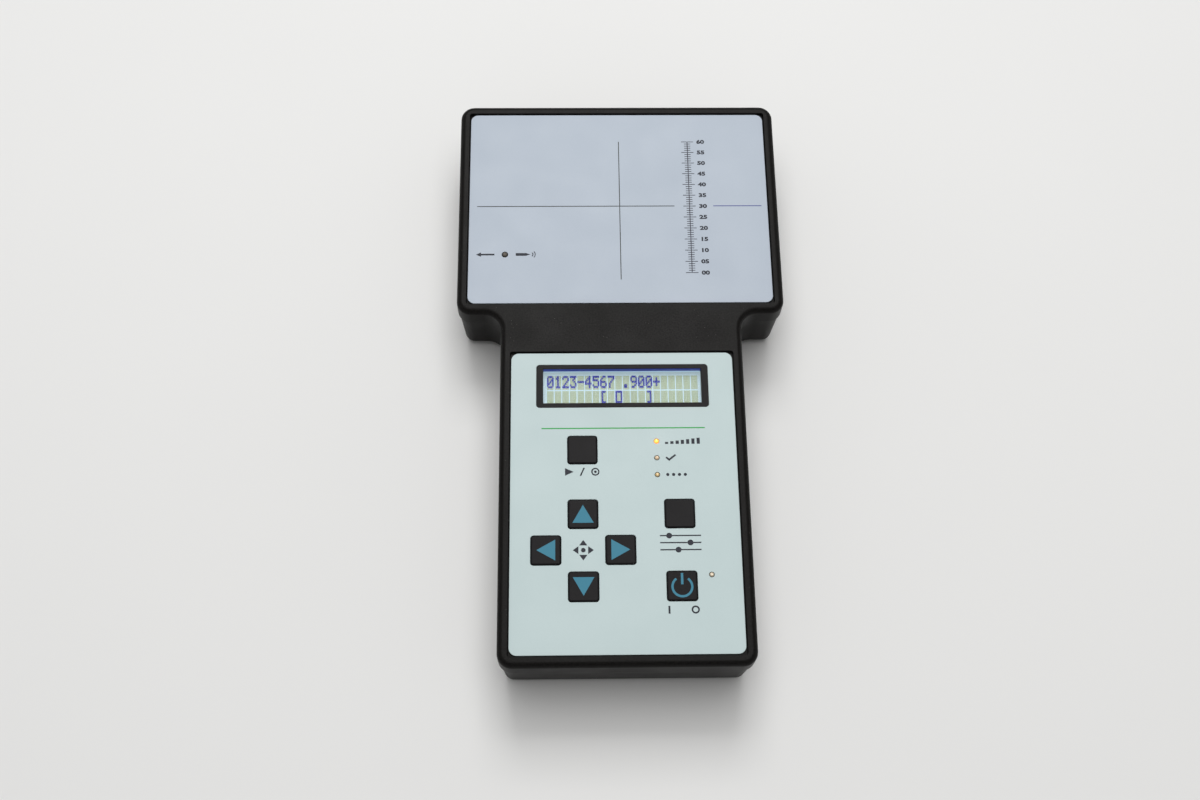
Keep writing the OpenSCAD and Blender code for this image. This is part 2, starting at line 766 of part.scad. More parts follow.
// One part that hangs under a board, at a share of the board's width and length
module under_board(board_w, board_l, board_y, bottom_z, place, size) {
    translate([place[0] * board_w, board_y + place[1] * board_l, bottom_z - size[2]])
        block(size[0], size[1], size[2]);
}

module under_main(place, size) {
    under_board(main_w, main_l, main_y, main_bottom_z, place, size);
}

module under_sensor(place, size) {
    under_board(sensor_w, sensor_l, plate_y, sensor_bottom_z, place, size);
}

module controller_chip() {
    color([0.08, 0.08, 0.09]) under_main([0.085, 0.16], CHIP);
}

module board_parts() {
    color([0.25, 0.25, 0.27]) {
        under_main([-0.17, 0.16], SMALL_CHIP);
        under_main([-0.31, 0.16], SMALL_CHIP);
        under_main([0.29, 0.16], CRYSTAL);
        under_main([-0.08, 0.33], RESISTOR);
        under_main([-0.23, -0.05], INDUCTOR);
        translate([0.2 * main_w, main_y - 0.05 * main_l, main_bottom_z - CAPACITOR[2]])
            cylinder(r = CAPACITOR[0], h = CAPACITOR[2]);
        for (s = [-1, 1]) {
            under_sensor([s * 0.3, -0.23], SMALL_CHIP);
            under_sensor([s * 0.3, 0.2], INDUCTOR);
        }
    }
}

module sensor_board() {
    color([0.1, 0.35, 0.2]) drilled_board(sensor_w, sensor_l, plate_y, sensor_top_z, SENSOR_POSTS);
}

module coil_spool() {
    color([0.85, 0.82, 0.74]) translate([0, plate_y, sensor_top_z]) rotate_extrude() {
        translate([spool_hub_r - 2, 0]) square([2, spool_h]);
        translate([spool_hub_r - 2, 0]) square([spool_r - spool_hub_r + 2, spool_flange_t]);
        translate([spool_hub_r - 2, spool_h - spool_flange_t])
            square([spool_r - spool_hub_r + 2, spool_flange_t]);
    }
}

module sensor_coil() {
    gap = 0.1;
    color([0.72, 0.4, 0.2]) translate([0, plate_y, sensor_top_z + spool_flange_t + gap]) rotate_extrude()
        translate([spool_hub_r + gap, 0])
            square([coil_r - spool_hub_r - gap, spool_h - 2 * spool_flange_t - 2 * gap]);
}

// Heights and ends of the ribbon cables, which hang in a shallow loop between their headers
sensor_header_y = plate_y - sensor_l / 2 + header_l;
main_header_y = main_y + main_l / 2 - header_l;
lcd_header_y = bezel_y - lcd_board_l / 2 + header_l;
main_bottom_z = main_top_z - board_t;
sensor_bottom_z = sensor_top_z - board_t;
lcd_bottom_z = lcd_board_top_z - board_t;
display_header_x = 20;

module header(x, y, top_z) {
    translate([x, y, top_z - header_h]) block(ribbon_w + 2 * header_side, header_l, header_h);
}

module ribbon_headers() {
    color([0.9, 0.88, 0.8]) {
        header(0, sensor_header_y, sensor_bottom_z);
        header(0, main_header_y, main_bottom_z);
        header(display_header_x, lcd_header_y, lcd_bottom_z);
        header(display_header_x, main_header_y, main_bottom_z);
    }
}

// A flat cable that drops from one header's underside, runs level and rises to the next
module ribbon(x, from_y, from_z, to_y, to_z, run_z) {
    legs = [[from_y, from_z], [to_y, to_z]];
    color([0.6, 0.62, 0.66]) translate([x - ribbon_w / 2, 0, 0]) rotate([90, 0, 90])
        linear_extrude(height = ribbon_w) {
            for (l = legs) {
                translate([l[0] - ribbon_t / 2, run_z]) square([ribbon_t, l[1] - run_z]);
            }
            translate([to_y - ribbon_t / 2, run_z]) square([from_y - to_y + ribbon_t, ribbon_t]);
        }
}

module sensor_ribbon() {
    ribbon(0, sensor_header_y, sensor_bottom_z - header_h, main_header_y, main_bottom_z - header_h,
        min(lcd_bottom_z, sensor_bottom_z) - header_h - ribbon_sag);
}

module display_ribbon() {
    ribbon(display_header_x, lcd_header_y, lcd_bottom_z - header_h, main_header_y,
        main_bottom_z - header_h, lcd_bottom_z - header_h - ribbon_sag);
}

// ---- Sockets ----

// A panel socket along its own +Z, whose bore opens at its tip
module socket_body(bore_r, barrel_r, bore_l, body_w) {
    tip = nut_h - 0.2;
    shoulder = -(wall_t - socket_pocket) - 1;
    difference() {
        union() {
            translate([0, 0, tip - bore_l - 2]) block(body_w, body_w, bore_l + 2 + shoulder - tip);
            translate([0, 0, shoulder - SINK]) cylinder(r = barrel_r, h = tip - shoulder + SINK);
        }
        translate([0, 0, tip - bore_l]) cylinder(r = bore_r, h = bore_l + CUT);
    }
}

module socket_nut(barrel_r) {
    difference() {
        cylinder(r = barrel_r + nut_t, h = nut_h);
        translate([0, 0, -CUT]) cylinder(r = barrel_r, h = nut_h + 2 * CUT);
        for (s = [-1, 1]) {
            translate([s * (barrel_r + nut_t), 0, nut_h - 0.6]) block(2, 1, CUT);
        }
    }
}

module at_wand_socket() {
    translate([-wand_face_x, wand_y, socket_z]) rotate([0, -90, 0]) children();
}

module at_power_inlet() {
    translate([inlet_x, inlet_face_y, socket_z]) rotate([-90, 0, 0]) children();
}

module wand_socket() {
    color([0.1, 0.1, 0.11]) at_wand_socket()
        socket_body(wand_bore_r, wand_barrel_r, wand_bore_l, wand_body_w);
}

module wand_socket_nut() {
    color([0.75, 0.75, 0.77]) at_wand_socket() socket_nut(wand_barrel_r);
}

module power_inlet() {
    color([0.1, 0.1, 0.11]) at_power_inlet()
        socket_body(inlet_bore_r, inlet_barrel_r, inlet_bore_l, inlet_body_w);
}

// Stands on the floor of the inlet's bore
module inlet_pin() {
    color([0.75, 0.75, 0.77]) at_power_inlet()
        translate([0, 0, nut_h - 0.2 - inlet_bore_l]) cylinder(r = inlet_pin_r, h = inlet_bore_l - 1);
}

module power_inlet_nut() {
    color([0.75, 0.75, 0.77]) at_power_inlet() socket_nut(inlet_barrel_r);
}

// ---- Cells and their contacts ----

// Places one cell's end fittings: far is true at the bay's far wall
module at_cell_end(i, far) {
    y = far ? bay_far_y : bay_near_y;
    translate([cell_x(i), y, cell_z]) rotate([far ? 90 : -90, 0, 0]) children();
}

module cell(i) {
    body_l = cell_l - cell_button_l;
    color([0.25, 0.27, 0.3]) at_cell_end(i, button_far(i)) translate([0, 0, contact_t]) rotate_extrude() {
        square([2.7, cell_button_l + 1]);
        translate([0, cell_button_l]) square([cell_r - 0.4, body_l]);
        translate([0, cell_button_l + 0.4]) square([cell_r, body_l - 0.8]);
    }
}

module contact_springs() {
    color([0.78, 0.78, 0.8]) for (i = [0:cell_count - 1]) {
        at_cell_end(i, !button_far(i)) translate([0, 0, contact_t]) rotate_extrude()
            polygon([
                [spring_r - spring_t, 0],
                [spring_r, 0],
                [spring_r * 0.74, spring_l],
                [spring_r * 0.74 - spring_t, spring_l]
            ]);
    }
}

module contact_plates() {
    color([0.82, 0.82, 0.8]) for (i = [0:cell_count - 1], far = [true, false]) {
        at_cell_end(i, far) block(contact_w, contact_w, contact_t);
    }
}

lead_r = 0.5;

module battery_leads() {
    color([0.65, 0.1, 0.1]) for (i = [0, cell_count - 1]) {
        translate([cell_x(i), bay_far_y - lead_r, 0]) rod(lead_r, cell_z + contact_w / 2, main_bottom_z);
    }
}

// ---- Screws and feet ----

module screw(r, l, head_r, head_h) {
    difference() {
        union() {
            cylinder(r = r, h = l);
            translate([0, 0, -head_h]) cylinder(r = head_r, h = head_h);
        }
        for (a = [0, 90]) {
            rotate([0, 0, a]) translate([0, 0, -head_h - CUT]) block(head_r * 1.3, head_r * 0.3, head_h / 2 + CUT);
        }
    }
}

module case_screws() {
    color([0.3, 0.3, 0.32]) at_each(CASE_SCREWS)
        translate([0, 0, screw_seat_z]) screw(screw_r, screw_l, screw_head_r, screw_head_h);
}

module board_screws() {
    color([0.8, 0.8, 0.82]) {
        at_each(MAIN_POSTS) small_screw(main_bottom_z);
        at_each(LCD_POSTS) small_screw(lcd_bottom_z);
        at_each(SENSOR_POSTS) small_screw(sensor_bottom_z);
    }
}

module small_screw(seat_z) {
    translate([0, 0, seat_z]) screw(small_screw_r, small_screw_l, small_head_r, small_screw_r);
}

module feet() {
    edge = 0.5;
    color([0.1, 0.1, 0.1]) at_each(FEET) rotate_extrude() {
        translate([0, edge]) square([foot_r, foot_h + foot_seat - edge]);
        square([foot_r - edge, foot_h]);
        translate([foot_r - edge, edge]) circle(r = edge);
    }
}

bottom_cover();
top_cover();
battery_door();
sensor_plate();
keypad_overlay();
display_bezel();
display_window();
lcd_frame();
lcd_glass();
lcd_backlight();
lcd_board();
for (k = KEYS) {
    key_cap(k);
    plunger(k);
}
switch_bodies();
main_board();
controller_chip();
board_parts();
for (l = LAMPS) {
    lamp(l[1], l[2], lamp_r, main_top_z, "white");
}
lamp(wand_lamp[0], wand_lamp[1], wand_lamp_r, sensor_top_z, "dimgray");  // lamp_wand
sensor_board();
coil_spool();
sensor_coil();
sensor_ribbon();
display_ribbon();
ribbon_headers();
wand_socket();
wand_socket_nut();
power_inlet();
inlet_pin();
power_inlet_nut();
for (i = [0:cell_count - 1]) {
    cell(i);
}
contact_springs();
contact_plates();
battery_leads();
case_screws();
board_screws();
feet();
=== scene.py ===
"""Looks of the hand-held gold tester: prints, keys, display, lamps, springs and finishes on its fixed frame.

X runs across the case, Y from the handle's end to the sensor head, Z up. Sizes below are millimetres.
"""

import json
import math

import bpy
import bmesh
from mathutils import Matrix, Vector


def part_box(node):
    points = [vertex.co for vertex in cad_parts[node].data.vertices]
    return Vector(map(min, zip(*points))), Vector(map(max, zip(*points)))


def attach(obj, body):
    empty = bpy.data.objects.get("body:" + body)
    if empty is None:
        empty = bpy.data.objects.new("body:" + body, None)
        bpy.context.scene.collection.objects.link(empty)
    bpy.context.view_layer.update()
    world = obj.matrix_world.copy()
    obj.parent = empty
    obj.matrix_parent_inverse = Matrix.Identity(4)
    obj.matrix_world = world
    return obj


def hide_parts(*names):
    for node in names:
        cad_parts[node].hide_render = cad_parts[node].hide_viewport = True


MM = 0.001

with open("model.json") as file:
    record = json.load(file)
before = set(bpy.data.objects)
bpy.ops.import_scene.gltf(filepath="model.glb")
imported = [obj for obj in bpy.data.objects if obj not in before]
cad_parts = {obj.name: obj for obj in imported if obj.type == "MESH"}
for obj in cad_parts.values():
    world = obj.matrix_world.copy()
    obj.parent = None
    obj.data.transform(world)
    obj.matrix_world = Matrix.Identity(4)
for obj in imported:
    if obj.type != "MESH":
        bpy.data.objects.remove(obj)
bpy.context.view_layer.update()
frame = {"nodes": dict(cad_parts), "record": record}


# ---- Places read from the frame ----


class Box:
    """A node's place in millimetres."""

    def __init__(self, node):
        low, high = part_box(node)
        self.x0, self.y0, self.z0 = low / MM
        self.x1, self.y1, self.z1 = high / MM
        self.x, self.y, self.z = (low + high) / 2 / MM
        self.width, self.length, self.height = (high - low) / MM


plate = Box("sensor_plate")
overlay = Box("keypad_overlay")
bezel = Box("display_bezel")
glass = Box("lcd_glass")

KEYS = ("run", "up", "down", "left", "right", "mode", "power")
LAMPS = ("upper", "middle", "lower", "power")
key_place = {name: Box(f"key_{name}") for name in KEYS}
lamp_place = {name: Box(f"lamp_{name}") for name in LAMPS}
wand_lamp = Box("lamp_wand")
cells = [Box(f"cell_{i}") for i in (1, 2, 3, 4)]

# Thickness of a printed mark, and how far it is let into what it is printed on
INK = 0.03
BITE = 0.01


# ---- Flat shapes: each is a list of points, anticlockwise from above ----

DISC_SIDES = 28


def bar(x0, y0, x1, y1):
    """A rectangle between two corners."""
    return [(x0, y0), (x1, y0), (x1, y1), (x0, y1)]


def bar_at(x, y, width, length):
    """A rectangle about its middle."""
    return bar(x - width / 2, y - length / 2, x + width / 2, y + length / 2)


def disc(x, y, radius):
    """A disc, as a shape of many short sides."""
    turn = [2 * math.pi * i / DISC_SIDES for i in range(DISC_SIDES)]
    return [(x + radius * math.cos(a), y + radius * math.sin(a)) for a in turn]


def ring(x, y, outer, inner, start=0, end=360, steps=40):
    """A ring, or a part of one between two angles in degrees, as short pieces side by side."""
    turn = [math.radians(start + (end - start) * i / steps) for i in range(steps + 1)]
    rim = [(math.cos(a), math.sin(a)) for a in turn]
    pieces = []
    for (c0, s0), (c1, s1) in zip(rim, rim[1:]):
        pieces.append(
            [
                (x + inner * c0, y + inner * s0),
                (x + outer * c0, y + outer * s0),
                (x + outer * c1, y + outer * s1),
                (x + inner * c1, y + inner * s1),
            ]
        )
    return pieces


def turned(points, quarter_turns, x, y):
    """The points turned about the origin by quarter turns, then moved."""
    for _ in range(quarter_turns % 4):
        points = [(-py, px) for px, py in points]
    return [(px + x, py + y) for px, py in points]


# ---- Pieces ----


def piece(name, mesh, material, body="case"):
    """A finished piece of the tester that moves with one of its bodies."""
    made = bpy.data.objects.new(name, mesh)
    bpy.context.scene.collection.objects.link(made)
    mesh.materials.clear()
    mesh.materials.append(material)
    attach(made, body)
    return made


def prisms(name, shapes, bottom, top):
    """A mesh of upright prisms, one on each flat shape."""
    work = bmesh.new()
    for shape in shapes:
        lower = [work.verts.new((x * MM, y * MM, bottom * MM)) for x, y in shape]
        upper = [work.verts.new((x * MM, y * MM, top * MM)) for x, y in shape]
        work.faces.new(upper)
        work.faces.new(lower[::-1])
        count = len(shape)
        for i in range(count):
            j = (i + 1) % count
            work.faces.new((lower[i], lower[j], upper[j], upper[i]))
    mesh = bpy.data.meshes.new(name)
    work.to_mesh(mesh)
    work.free()
    return mesh


def print_on(name, shapes, surface_z, material, body="case"):
    """Printed marks on a level surface."""
    mesh = prisms(name, shapes, surface_z - BITE, surface_z + INK)
    return piece(name, mesh, material, body)


# Points this close are joined, and faces that turn by fewer degrees than this become one flat
JOIN_WITHIN = 0.002
FLAT_WITHIN = 0.4

# Only an edge that turns by more degrees than this is rounded
ROUND_ABOVE = 32


def soften(part, width):
    """Rounds a part's edges a little and smooths what is already curved."""
    mesh = part.data
    normals = mesh.attributes.get("custom_normal")
    if normals:
        mesh.attributes.remove(normals)
    mesh.shade_smooth()
    weld = part.modifiers.new("join", "WELD")
    weld.merge_threshold = JOIN_WITHIN * MM
    flat = part.modifiers.new("flats", "DECIMATE")
    flat.decimate_type = "DISSOLVE"
    flat.angle_limit = math.radians(FLAT_WITHIN)
    if width:
        edge = part.modifiers.new("edges", "BEVEL")
        edge.width = width * MM
        edge.segments = 2
        edge.limit_method = "ANGLE"
        edge.angle_limit = math.radians(ROUND_ABOVE)
        edge.use_clamp_overlap = False
    part.modifiers.new("shading", "WEIGHTED_NORMAL").keep_sharp = not width


# ---- Effects that several finishes share ----

# The two values between which most of a noise mask lies
NOISE_LOW = 0.3
NOISE_HIGH = 0.7

# A speck's radius as a share of the specks' spacing, the size of a dusty patch, the noise above which
# a patch is dusty, and how far up a face must look to hold dust
SPECK_RADIUS = 0.07
DUST_PATCH = 9
DUSTY_ABOVE = 0.56
LOOKS_UP = 0.7

# The size of a patch of uneven ink, and the pitch of a printed sheet's screen
INK_PATCH = 26
SCREEN_PITCH = 0.45


def new_group(name, inputs, outputs):
    """An empty node group with named inputs and outputs."""
    group = bpy.data.node_groups.new(name, "ShaderNodeTree")
    for label, kind, value in inputs:
        socket = group.interface.new_socket(label, in_out="INPUT", socket_type=kind)
        socket.default_value = value
    for label, kind in outputs:
        group.interface.new_socket(label, in_out="OUTPUT", socket_type=kind)
    return group, group.nodes.new("NodeGroupInput"), group.nodes.new("NodeGroupOutput")


def add_noise(nodes, links, place, detail=2.0, roughness=0.5):
    """A Noise node over a place; its scale is set by whoever asks for it."""
    noise = nodes.new("ShaderNodeTexNoise")
    noise.inputs["Detail"].default_value = detail
    noise.inputs["Roughness"].default_value = roughness
    links.new(place, noise.inputs["Vector"])
    return noise


def math_node(nodes, links, operation, first, second):
    """A Math node whose two inputs are sockets or numbers."""
    made = nodes.new("ShaderNodeMath")
    made.operation = operation
    for i, value in enumerate((first, second)):
        if isinstance(value, (int, float)):
            made.inputs[i].default_value = value
        else:
            links.new(value, made.inputs[i])
    return made.outputs[0]


def spread_mask(nodes, links, mask, low, high):
    """Spreads the middle of a noise mask between two values."""
    spread = nodes.new("ShaderNodeMapRange")
    spread.inputs["From Min"].default_value = NOISE_LOW
    spread.inputs["From Max"].default_value = NOISE_HIGH
    spread.inputs["To Min"].default_value = low
    spread.inputs["To Max"].default_value = high
    links.new(mask, spread.inputs["Value"])
    return spread.outputs["Result"]


def make_moulded_grain():
    """Fine raised grain of moulded plastic, its speckle, and a slow wander of its shine."""
    group, given, result = new_group(
        "moulded grain",
        [("Grain size in mm", "NodeSocketFloat", 0.35), ("Patch size in mm", "NodeSocketFloat", 18.0)],
        [("Height", "NodeSocketFloat"), ("Patches", "NodeSocketFloat"), ("Speckle", "NodeSocketFloat")],
    )
    nodes, links = group.nodes, group.links
    place = nodes.new("ShaderNodeTexCoord").outputs["Object"]
    fine = add_noise(nodes, links, place, 3.0, 0.6)
    slow = add_noise(nodes, links, place, 3.0, 0.55)
    links.new(spread_mask(nodes, links, fine.outputs["Fac"], 0.0, 1.0), result.inputs["Speckle"])
    grain_scale = math_node(nodes, links, "DIVIDE", 1 / MM, given.outputs["Grain size in mm"])
    patch_scale = math_node(nodes, links, "DIVIDE", 1 / MM, given.outputs["Patch size in mm"])
    links.new(grain_scale, fine.inputs["Scale"])
    links.new(patch_scale, slow.inputs["Scale"])
    links.new(fine.outputs["Fac"], result.inputs["Height"])
    links.new(slow.outputs["Fac"], result.inputs["Patches"])
    return group


def make_settled_dust():
    """Sparse light specks that lie on faces that look up."""
    group, given, result = new_group(
        "settled dust",
        [("Amount", "NodeSocketFloat", 0.3), ("Speck spacing in mm", "NodeSocketFloat", 1.6)],
        [("Specks", "NodeSocketFloat")],
    )
    nodes, links = group.nodes, group.links
    place = nodes.new("ShaderNodeTexCoord").outputs["Object"]
    spots = nodes.new("ShaderNodeTexVoronoi")
    links.new(place, spots.inputs["Vector"])
    speck_scale = math_node(nodes, links, "DIVIDE", 1 / MM, given.outputs["Speck spacing in mm"])
    links.new(speck_scale, spots.inputs["Scale"])
    near = math_node(nodes, links, "LESS_THAN", spots.outputs["Distance"], SPECK_RADIUS)
    spread = add_noise(nodes, links, place, 1.0)
    spread.inputs["Scale"].default_value = 1 / (DUST_PATCH * MM)
    patchy = math_node(nodes, links, "GREATER_THAN", spread.outputs["Fac"], DUSTY_ABOVE)
    facing = nodes.new("ShaderNodeSeparateXYZ")
    links.new(nodes.new("ShaderNodeNewGeometry").outputs["Normal"], facing.inputs[0])
    level = math_node(nodes, links, "GREATER_THAN", facing.outputs["Z"], LOOKS_UP)
    specks = math_node(nodes, links, "MULTIPLY", near, patchy)
    specks = math_node(nodes, links, "MULTIPLY", specks, level)
    specks = math_node(nodes, links, "MULTIPLY", specks, given.outputs["Amount"])
    links.new(specks, result.inputs["Specks"])
    return group


def make_printed_sheet():
    """The close screen of a printed sheet, and slight uneven ink."""
    group, given, result = new_group(
        "printed sheet",
        [("Ink", "NodeSocketColor", (0.5, 0.5, 0.5, 1)), ("Thin ink", "NodeSocketColor", (0.6, 0.6, 0.6, 1))],
        [("Color", "NodeSocketColor"), ("Height", "NodeSocketFloat")],
    )
    nodes, links = group.nodes, group.links
    place = nodes.new("ShaderNodeTexCoord").outputs["Object"]
    slow = add_noise(nodes, links, place, 2.0)
    slow.inputs["Scale"].default_value = 1 / (INK_PATCH * MM)
    fine = add_noise(nodes, links, place, 2.0, 0.7)
    fine.inputs["Scale"].default_value = 1 / (SCREEN_PITCH * MM)
    share = math_node(nodes, links, "ADD", slow.outputs["Fac"], fine.outputs["Fac"])
    mix = nodes.new("ShaderNodeMix")
    mix.data_type = "RGBA"
    links.new(math_node(nodes, links, "SUBTRACT", share, 0.5), mix.inputs["Factor"])
    links.new(given.outputs["Ink"], mix.inputs["A"])
    links.new(given.outputs["Thin ink"], mix.inputs["B"])
    links.new(mix.outputs["Result"], result.inputs["Color"])
    links.new(fine.outputs["Fac"], result.inputs["Height"])
    return group


moulded_grain = make_moulded_grain()
settled_dust = make_settled_dust()
printed_sheet = make_printed_sheet()


# ---- Finishes ----

DUST_TONE = (0.42, 0.41, 0.39)

# How far a finish's roughness wanders below and above its own value
MOULDED_WANDER = (0.04, 0.05)
SHEET_WANDER = (0.05, 0.05)

# Heights of a printed sheet's screen, of turns of wire and of a board's tracks, and those tracks' pitch
SCREEN_RELIEF = 0.008
TURN_RELIEF = 0.1
TRACK_RELIEF = 0.02
TRACK_PITCH = 9

# At this scale a wave's lines lie one unit apart
WAVE_SCALE = math.pi / 10

# A clear sheet's tint under its wiping marks, and their roughness
WIPED_TINT = 0.985
WIPED_ROUGHNESS = 0.006

# A lens's roughness when glossy, what a dull one has more, and the shares of its radius between which
# its bright middle turns into its rim; on an unlit lens the middle is a painted highlight and the rim painted
# shade
LENS_ROUGHNESS = 0.15
LENS_DULLING = 0.25
LENS_MIDDLE = 0.35
LENS_RIM = 0.85

# Half the length of a cell's jacket, between its two bare steel bands
JACKET_HALF = 17
BAND_TONE = (0.50, 0.50, 0.52)


def start_finish(name, roughness, **settings):
    """A new material with its main shader, and settings on the shader's own sockets."""
    material = bpy.data.materials.new(name)
    material.use_nodes = True
    shader = material.node_tree.nodes["Principled BSDF"]
    shader.inputs["Roughness"].default_value = roughness
    for socket, value in settings.items():
        shader.inputs[socket.replace("_", " ")].default_value = value
    return material, shader, material.node_tree.nodes, material.node_tree.links


def use_group(nodes, group, **values):
    """A shared effect placed in a material, with its own values."""
    made = nodes.new("ShaderNodeGroup")
    made.node_tree = group
    for label, value in values.items():
        made.inputs[label.replace("_", " ")].default_value = value
    return made


def mix_colours(nodes, links, share, first, second):
    """A mix of two colours by a mask that changes over the surface."""
    mix = nodes.new("ShaderNodeMix")
    mix.data_type = "RGBA"
    links.new(share, mix.inputs["Factor"])
    for socket, value in (("A", first), ("B", second)):
        if isinstance(value, tuple):
            mix.inputs[socket].default_value = (*value, 1)
        else:
            links.new(value, mix.inputs[socket])
    return mix.outputs["Result"]


def vary_shine(nodes, links, mask, low, high, shader):
    """Lets a shader's roughness wander with a noise mask between two values."""
    links.new(spread_mask(nodes, links, mask, low, high), shader.inputs["Roughness"])


def raise_by(nodes, links, height, distance, strength, shader):
    """Lifts the surface by a height map."""
    bump = nodes.new("ShaderNodeBump")
    bump.inputs["Distance"].default_value = distance * MM
    bump.inputs["Strength"].default_value = strength
    links.new(height, bump.inputs["Height"])
    links.new(bump.outputs["Normal"], shader.inputs["Normal"])


def moulded(name, colour, worn, roughness, grain=0.35, relief=0.03, dust=0.0, **settings):
    """Moulded plastic, rubber or vinyl: two near tones, grained, with shine that wanders a little."""
    material, shader, nodes, links = start_finish(name, roughness, **settings)
    skin = use_group(nodes, moulded_grain, Grain_size_in_mm=grain)
    tone = mix_colours(nodes, links, skin.outputs["Speckle"], colour, worn)
    if dust:
        specks = use_group(nodes, settled_dust, Amount=dust)
        tone = mix_colours(nodes, links, specks.outputs["Specks"], tone, DUST_TONE)
    links.new(tone, shader.inputs["Base Color"])
    less, more = MOULDED_WANDER
    vary_shine(nodes, links, skin.outputs["Patches"], roughness - less, roughness + more, shader)
    raise_by(nodes, links, skin.outputs["Height"], relief, 1.0, shader)
    return material


def sheet_finish(name, ink, thin_ink, roughness):
    """Satin plate or film, printed all over."""
    material, shader, nodes, links = start_finish(name, roughness, Specular_IOR_Level=0.4)
    sheet = use_group(nodes, printed_sheet, Ink=(*ink, 1), Thin_ink=(*thin_ink, 1))
    skin = use_group(nodes, moulded_grain, Grain_size_in_mm=0.6)
    links.new(sheet.outputs["Color"], shader.inputs["Base Color"])
    less, more = SHEET_WANDER
    vary_shine(nodes, links, skin.outputs["Patches"], roughness - less, roughness + more, shader)
    raise_by(nodes, links, sheet.outputs["Height"], SCREEN_RELIEF, 1.0, shader)
    return material


def ink_finish(name, ink, thin_ink, glow=0.0):
    """Printed marks with a slightly uneven tone, a display's marks lit from behind, or a strip whose glow is
    painted light.
    """
    material, shader, nodes, links = start_finish(name, 0.5, Specular_IOR_Level=0.2)
    sheet = use_group(nodes, printed_sheet, Ink=(*ink, 1), Thin_ink=(*thin_ink, 1))
    links.new(sheet.outputs["Color"], shader.inputs["Base Color"])
    if glow:
        links.new(sheet.outputs["Color"], shader.inputs["Emission Color"])
        shader.inputs["Emission Strength"].default_value = glow
    return material


def metal(name, colour, worn, roughness):
    """Bare or plated metal."""
    return moulded(name, colour, worn, roughness, grain=0.5, relief=0.004, Metallic=1.0)


def board_finish():
    """Green solder mask over copper tracks."""
    material, shader, nodes, links = start_finish("green board", 0.3)
    place = nodes.new("ShaderNodeTexCoord").outputs["Object"]
    tracks = nodes.new("ShaderNodeTexBrick")
    tracks.inputs["Scale"].default_value = 1 / (TRACK_PITCH * MM)
    tracks.inputs["Mortar Size"].default_value = 0.03
    tracks.inputs["Color1"].default_value = (0.012, 0.09, 0.035, 1)
    tracks.inputs["Color2"].default_value = (0.016, 0.11, 0.045, 1)
    tracks.inputs["Mortar"].default_value = (0.06, 0.24, 0.09, 1)
    links.new(place, tracks.inputs["Vector"])
    links.new(tracks.outputs["Color"], shader.inputs["Base Color"])
    raise_by(nodes, links, tracks.outputs["Fac"], TRACK_RELIEF, 0.6, shader)
    return material


def wound_finish(name, colour, dark, roughness, metallic, pitch, axis):
    """Lines at one pitch along an axis: turns of enamelled wire, or the cores of a flat cable."""
    material, shader, nodes, links = start_finish(name, roughness, Metallic=metallic)
    place = nodes.new("ShaderNodeTexCoord").outputs["Object"]
    lines = nodes.new("ShaderNodeTexWave")
    lines.bands_direction = axis
    lines.inputs["Scale"].default_value = WAVE_SCALE / (pitch * MM)
    links.new(place, lines.inputs["Vector"])
    links.new(mix_colours(nodes, links, lines.outputs["Fac"], dark, colour), shader.inputs["Base Color"])
    raise_by(nodes, links, lines.outputs["Fac"], TURN_RELIEF, 0.8, shader)
    return material


def clear_finish(name, colour):
    """Clear sheet with hardly any glare, and faint wiping marks."""
    material, shader, nodes, links = start_finish(
        name, 0.0, Transmission_Weight=1.0, IOR=1.15, Specular_IOR_Level=0.5
    )
    skin = use_group(nodes, moulded_grain, Grain_size_in_mm=1.4, Patch_size_in_mm=9.0)
    wiped = tuple(part * WIPED_TINT for part in colour)
    tone = mix_colours(nodes, links, skin.outputs["Patches"], colour, wiped)
    links.new(tone, shader.inputs["Base Color"])
    vary_shine(nodes, links, skin.outputs["Patches"], 0.0, WIPED_ROUGHNESS, shader)
    return material


def lamp_finish(name, lamp, middle, rim, glow=0.0, gloss=1.0):
    """A domed lamp lens with a bright middle and a deeper rim, lit from inside where it has a glow. On an
    unlit lens the bright middle is a painted highlight and the deeper rim painted shade.
    """
    roughness = LENS_ROUGHNESS + LENS_DULLING * (1 - gloss)
    material, shader, nodes, links = start_finish(
        name, roughness, Coat_Weight=gloss, Coat_Roughness=0.04, Specular_IOR_Level=gloss / 2
    )
    away = nodes.new("ShaderNodeVectorMath")
    away.operation = "DISTANCE"
    links.new(nodes.new("ShaderNodeTexCoord").outputs["Object"], away.inputs[0])
    away.inputs[1].default_value = Vector((lamp.x, lamp.y, lamp.z1)) * MM
    share = nodes.new("ShaderNodeMapRange")
    share.inputs["From Min"].default_value = LENS_MIDDLE * lamp.width / 2 * MM
    share.inputs["From Max"].default_value = LENS_RIM * lamp.width / 2 * MM
    links.new(away.outputs["Value"], share.inputs["Value"])
    tone = mix_colours(nodes, links, share.outputs["Result"], middle, rim)
    links.new(tone, shader.inputs["Base Color"])
    if glow:
        links.new(tone, shader.inputs["Emission Color"])
        shader.inputs["Emission Strength"].default_value = glow
    return material


